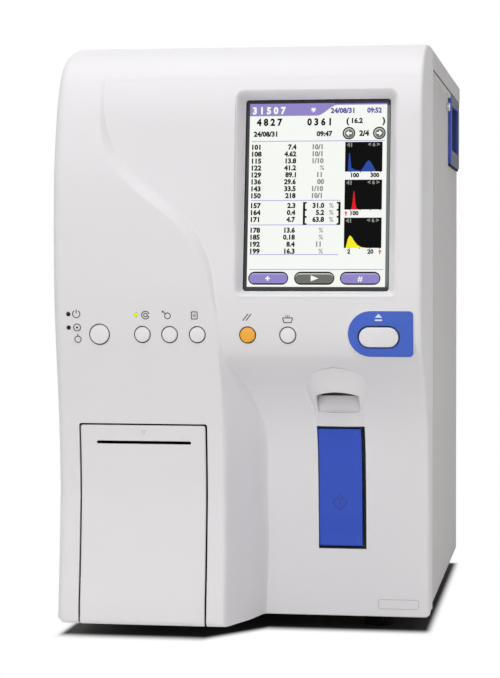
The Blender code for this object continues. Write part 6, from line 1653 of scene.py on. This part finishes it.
def kept_nodes():
    """The CAD nodes that stay get the material of their slot."""
    for part in frame["record"]["subparts"]:
        materials = NODES[part["node"]].data.materials
        materials.clear()
        materials.append(MATERIALS[part["material_slot"]])


# Camera, light and floor
CAMERA_PLACE = (0.20825, -1.51284, 0.24389)
CAMERA_TURN = (QUARTER - math.radians(1.0), 0, math.radians(8.751))
CAMERA_SETTINGS = {"lens": 112.84, "sensor_width": 36.0, "shift_y": -0.0615, "clip_end": 50.0}
# Lamps: place, target, size, power
LIGHTS = {
    "key": ((0.1, -2.5, 1.2), (0.0, -0.1, 0.2), 2.2, 27.6),
    "top": ((-0.1, -0.45, 2.3), (0.0, -0.1, 0.2), 1.6, 25.0),
    "low": ((0.95, -0.12, 0.04), (0.11, 0.0, 0.06), 0.3, 1.3),
}
AMBIENT_LEFT = 0.45
AMBIENT_RIGHT = 0.0
FLOOR_HALF = 4.0
FLOOR_COLOUR = linear(236, 235, 234)
# Painted shadow: the floor's colour under the body, and the lines that bound it
FLOOR_PAINTED_SHADOW = linear(70, 68, 66)
SHADE_LEFT = -0.1250
SHADE_RIGHT = 0.1130
SHADE_TURN_LEFT = -0.0290
SHADE_TURN_RIGHT = 0.0060
SHADE_FRONT_LEFT = -0.1700
SHADE_FRONT_RIGHT = -0.1240
SHADE_FADE = 0.0120
SHADE_SOFT = 0.0035


def camera():
    data = bpy.data.cameras.new("camera")
    for name, value in CAMERA_SETTINGS.items():
        setattr(data, name, value)
    obj = new_object("camera", data)
    obj.location = CAMERA_PLACE
    obj.rotation_euler = CAMERA_TURN
    SCENE.camera = obj


def seen_directly(tree):
    """1 for rays that show the background: camera, glossy and transmission rays."""
    path = node(tree, "ShaderNodeLightPath").outputs
    seen = combined(tree, "MAXIMUM", path["Is Camera Ray"], path["Is Glossy Ray"])
    return combined(tree, "MAXIMUM", seen, path["Is Transmission Ray"])


def world():
    made = bpy.data.worlds.new("studio")
    SCENE.world = made
    made.use_nodes = True
    tree = made.node_tree
    place = node(tree, "ShaderNodeTexCoord").outputs["Generated"]
    across = node(tree, "ShaderNodeSeparateXYZ", {"Vector": place}).outputs["X"]
    level = mapped(tree, across, AMBIENT_LEFT, AMBIENT_RIGHT, -1.0)
    shade = blend(tree, seen_directly(tree), level, WHITE)
    feed(tree, tree.nodes["Background"], {"Color": shade, "Strength": 1.0})


def under_body(tree):
    """1 where the floor gets its painted shadow of the body, whose front line follows the two halves."""
    place = node(tree, "ShaderNodeNewGeometry").outputs["Position"]
    split = node(tree, "ShaderNodeSeparateXYZ", {"Vector": place})
    x, y = split.outputs["X"], split.outputs["Y"]
    line = mapped(tree, x, SHADE_FRONT_LEFT, SHADE_FRONT_RIGHT, SHADE_TURN_LEFT, SHADE_TURN_RIGHT)
    edges = ((combined(tree, "SUBTRACT", y, line), -SHADE_FADE, SHADE_FADE),
             (x, SHADE_LEFT - SHADE_SOFT, SHADE_LEFT + SHADE_SOFT),
             (x, SHADE_RIGHT + SHADE_SOFT, SHADE_RIGHT - SHADE_SOFT),
             (y, REAR_Y + SHADE_FADE, REAR_Y))
    shade, *others = [mapped(tree, source, 0.0, 1.0, start, end, "SMOOTHSTEP") for source, start, end in edges]
    for other in others:
        shade = combined(tree, "MULTIPLY", shade, other)
    return shade


def floor():
    """A white floor with a painted shadow of the body: its colour turns dark under the body."""
    mesh_builder = bmesh.new()
    bmesh.ops.create_grid(mesh_builder, x_segments=1, y_segments=1, size=FLOOR_HALF)
    obj = finish_mesh("floor", mesh_builder)
    if obj.data.polygons[0].normal.z < 0:
        obj.data.flip_normals()
    material, tree, shader = new_material("floor")
    shade = under_body(tree)
    # Painted shadow: the floor's base colour turns dark under the body
    feed(tree, shader, {"Base Color": blend(tree, shade, opaque(FLOOR_COLOUR), opaque(FLOOR_PAINTED_SHADOW)),
                        "Roughness": 0.8, "Specular IOR Level": 0.1})
    clear = combined(tree, "MULTIPLY", combined(tree, "SUBTRACT", 1.0, shade), seen_directly(tree))
    glow = node(tree, "ShaderNodeEmission", {"Color": WHITE}).outputs[0]
    mixed = node(tree, "ShaderNodeMixShader", {0: clear, 1: shader.outputs[0], 2: glow})
    feed(tree, tree.nodes["Material Output"], {"Surface": mixed.outputs[0]})
    obj.data.materials.append(material)


def lights():
    for name, (place, target, size, power) in LIGHTS.items():
        data = bpy.data.lights.new(name, "AREA")
        data.shape = "DISK"
        data.size = size
        data.energy = power
        obj = new_object(name, data)
        obj.location = place
        obj.rotation_euler = (Vector(target) - Vector(place)).to_track_quat("-Z", "Y").to_euler()


SCENE.view_settings.view_transform = "Standard"
for make in (camera, world, floor, lights, kept_nodes, bezel, surround, glass, screen_image, door_painted_shadow,
             key_painted_shadow_strips, keys, lamps, eject_plate, printer_door, start_paddle, sampler_hood, top_cover,
             side_grip, side_lips, rear_details, bay_tubes, bay_details, icons):
    make()
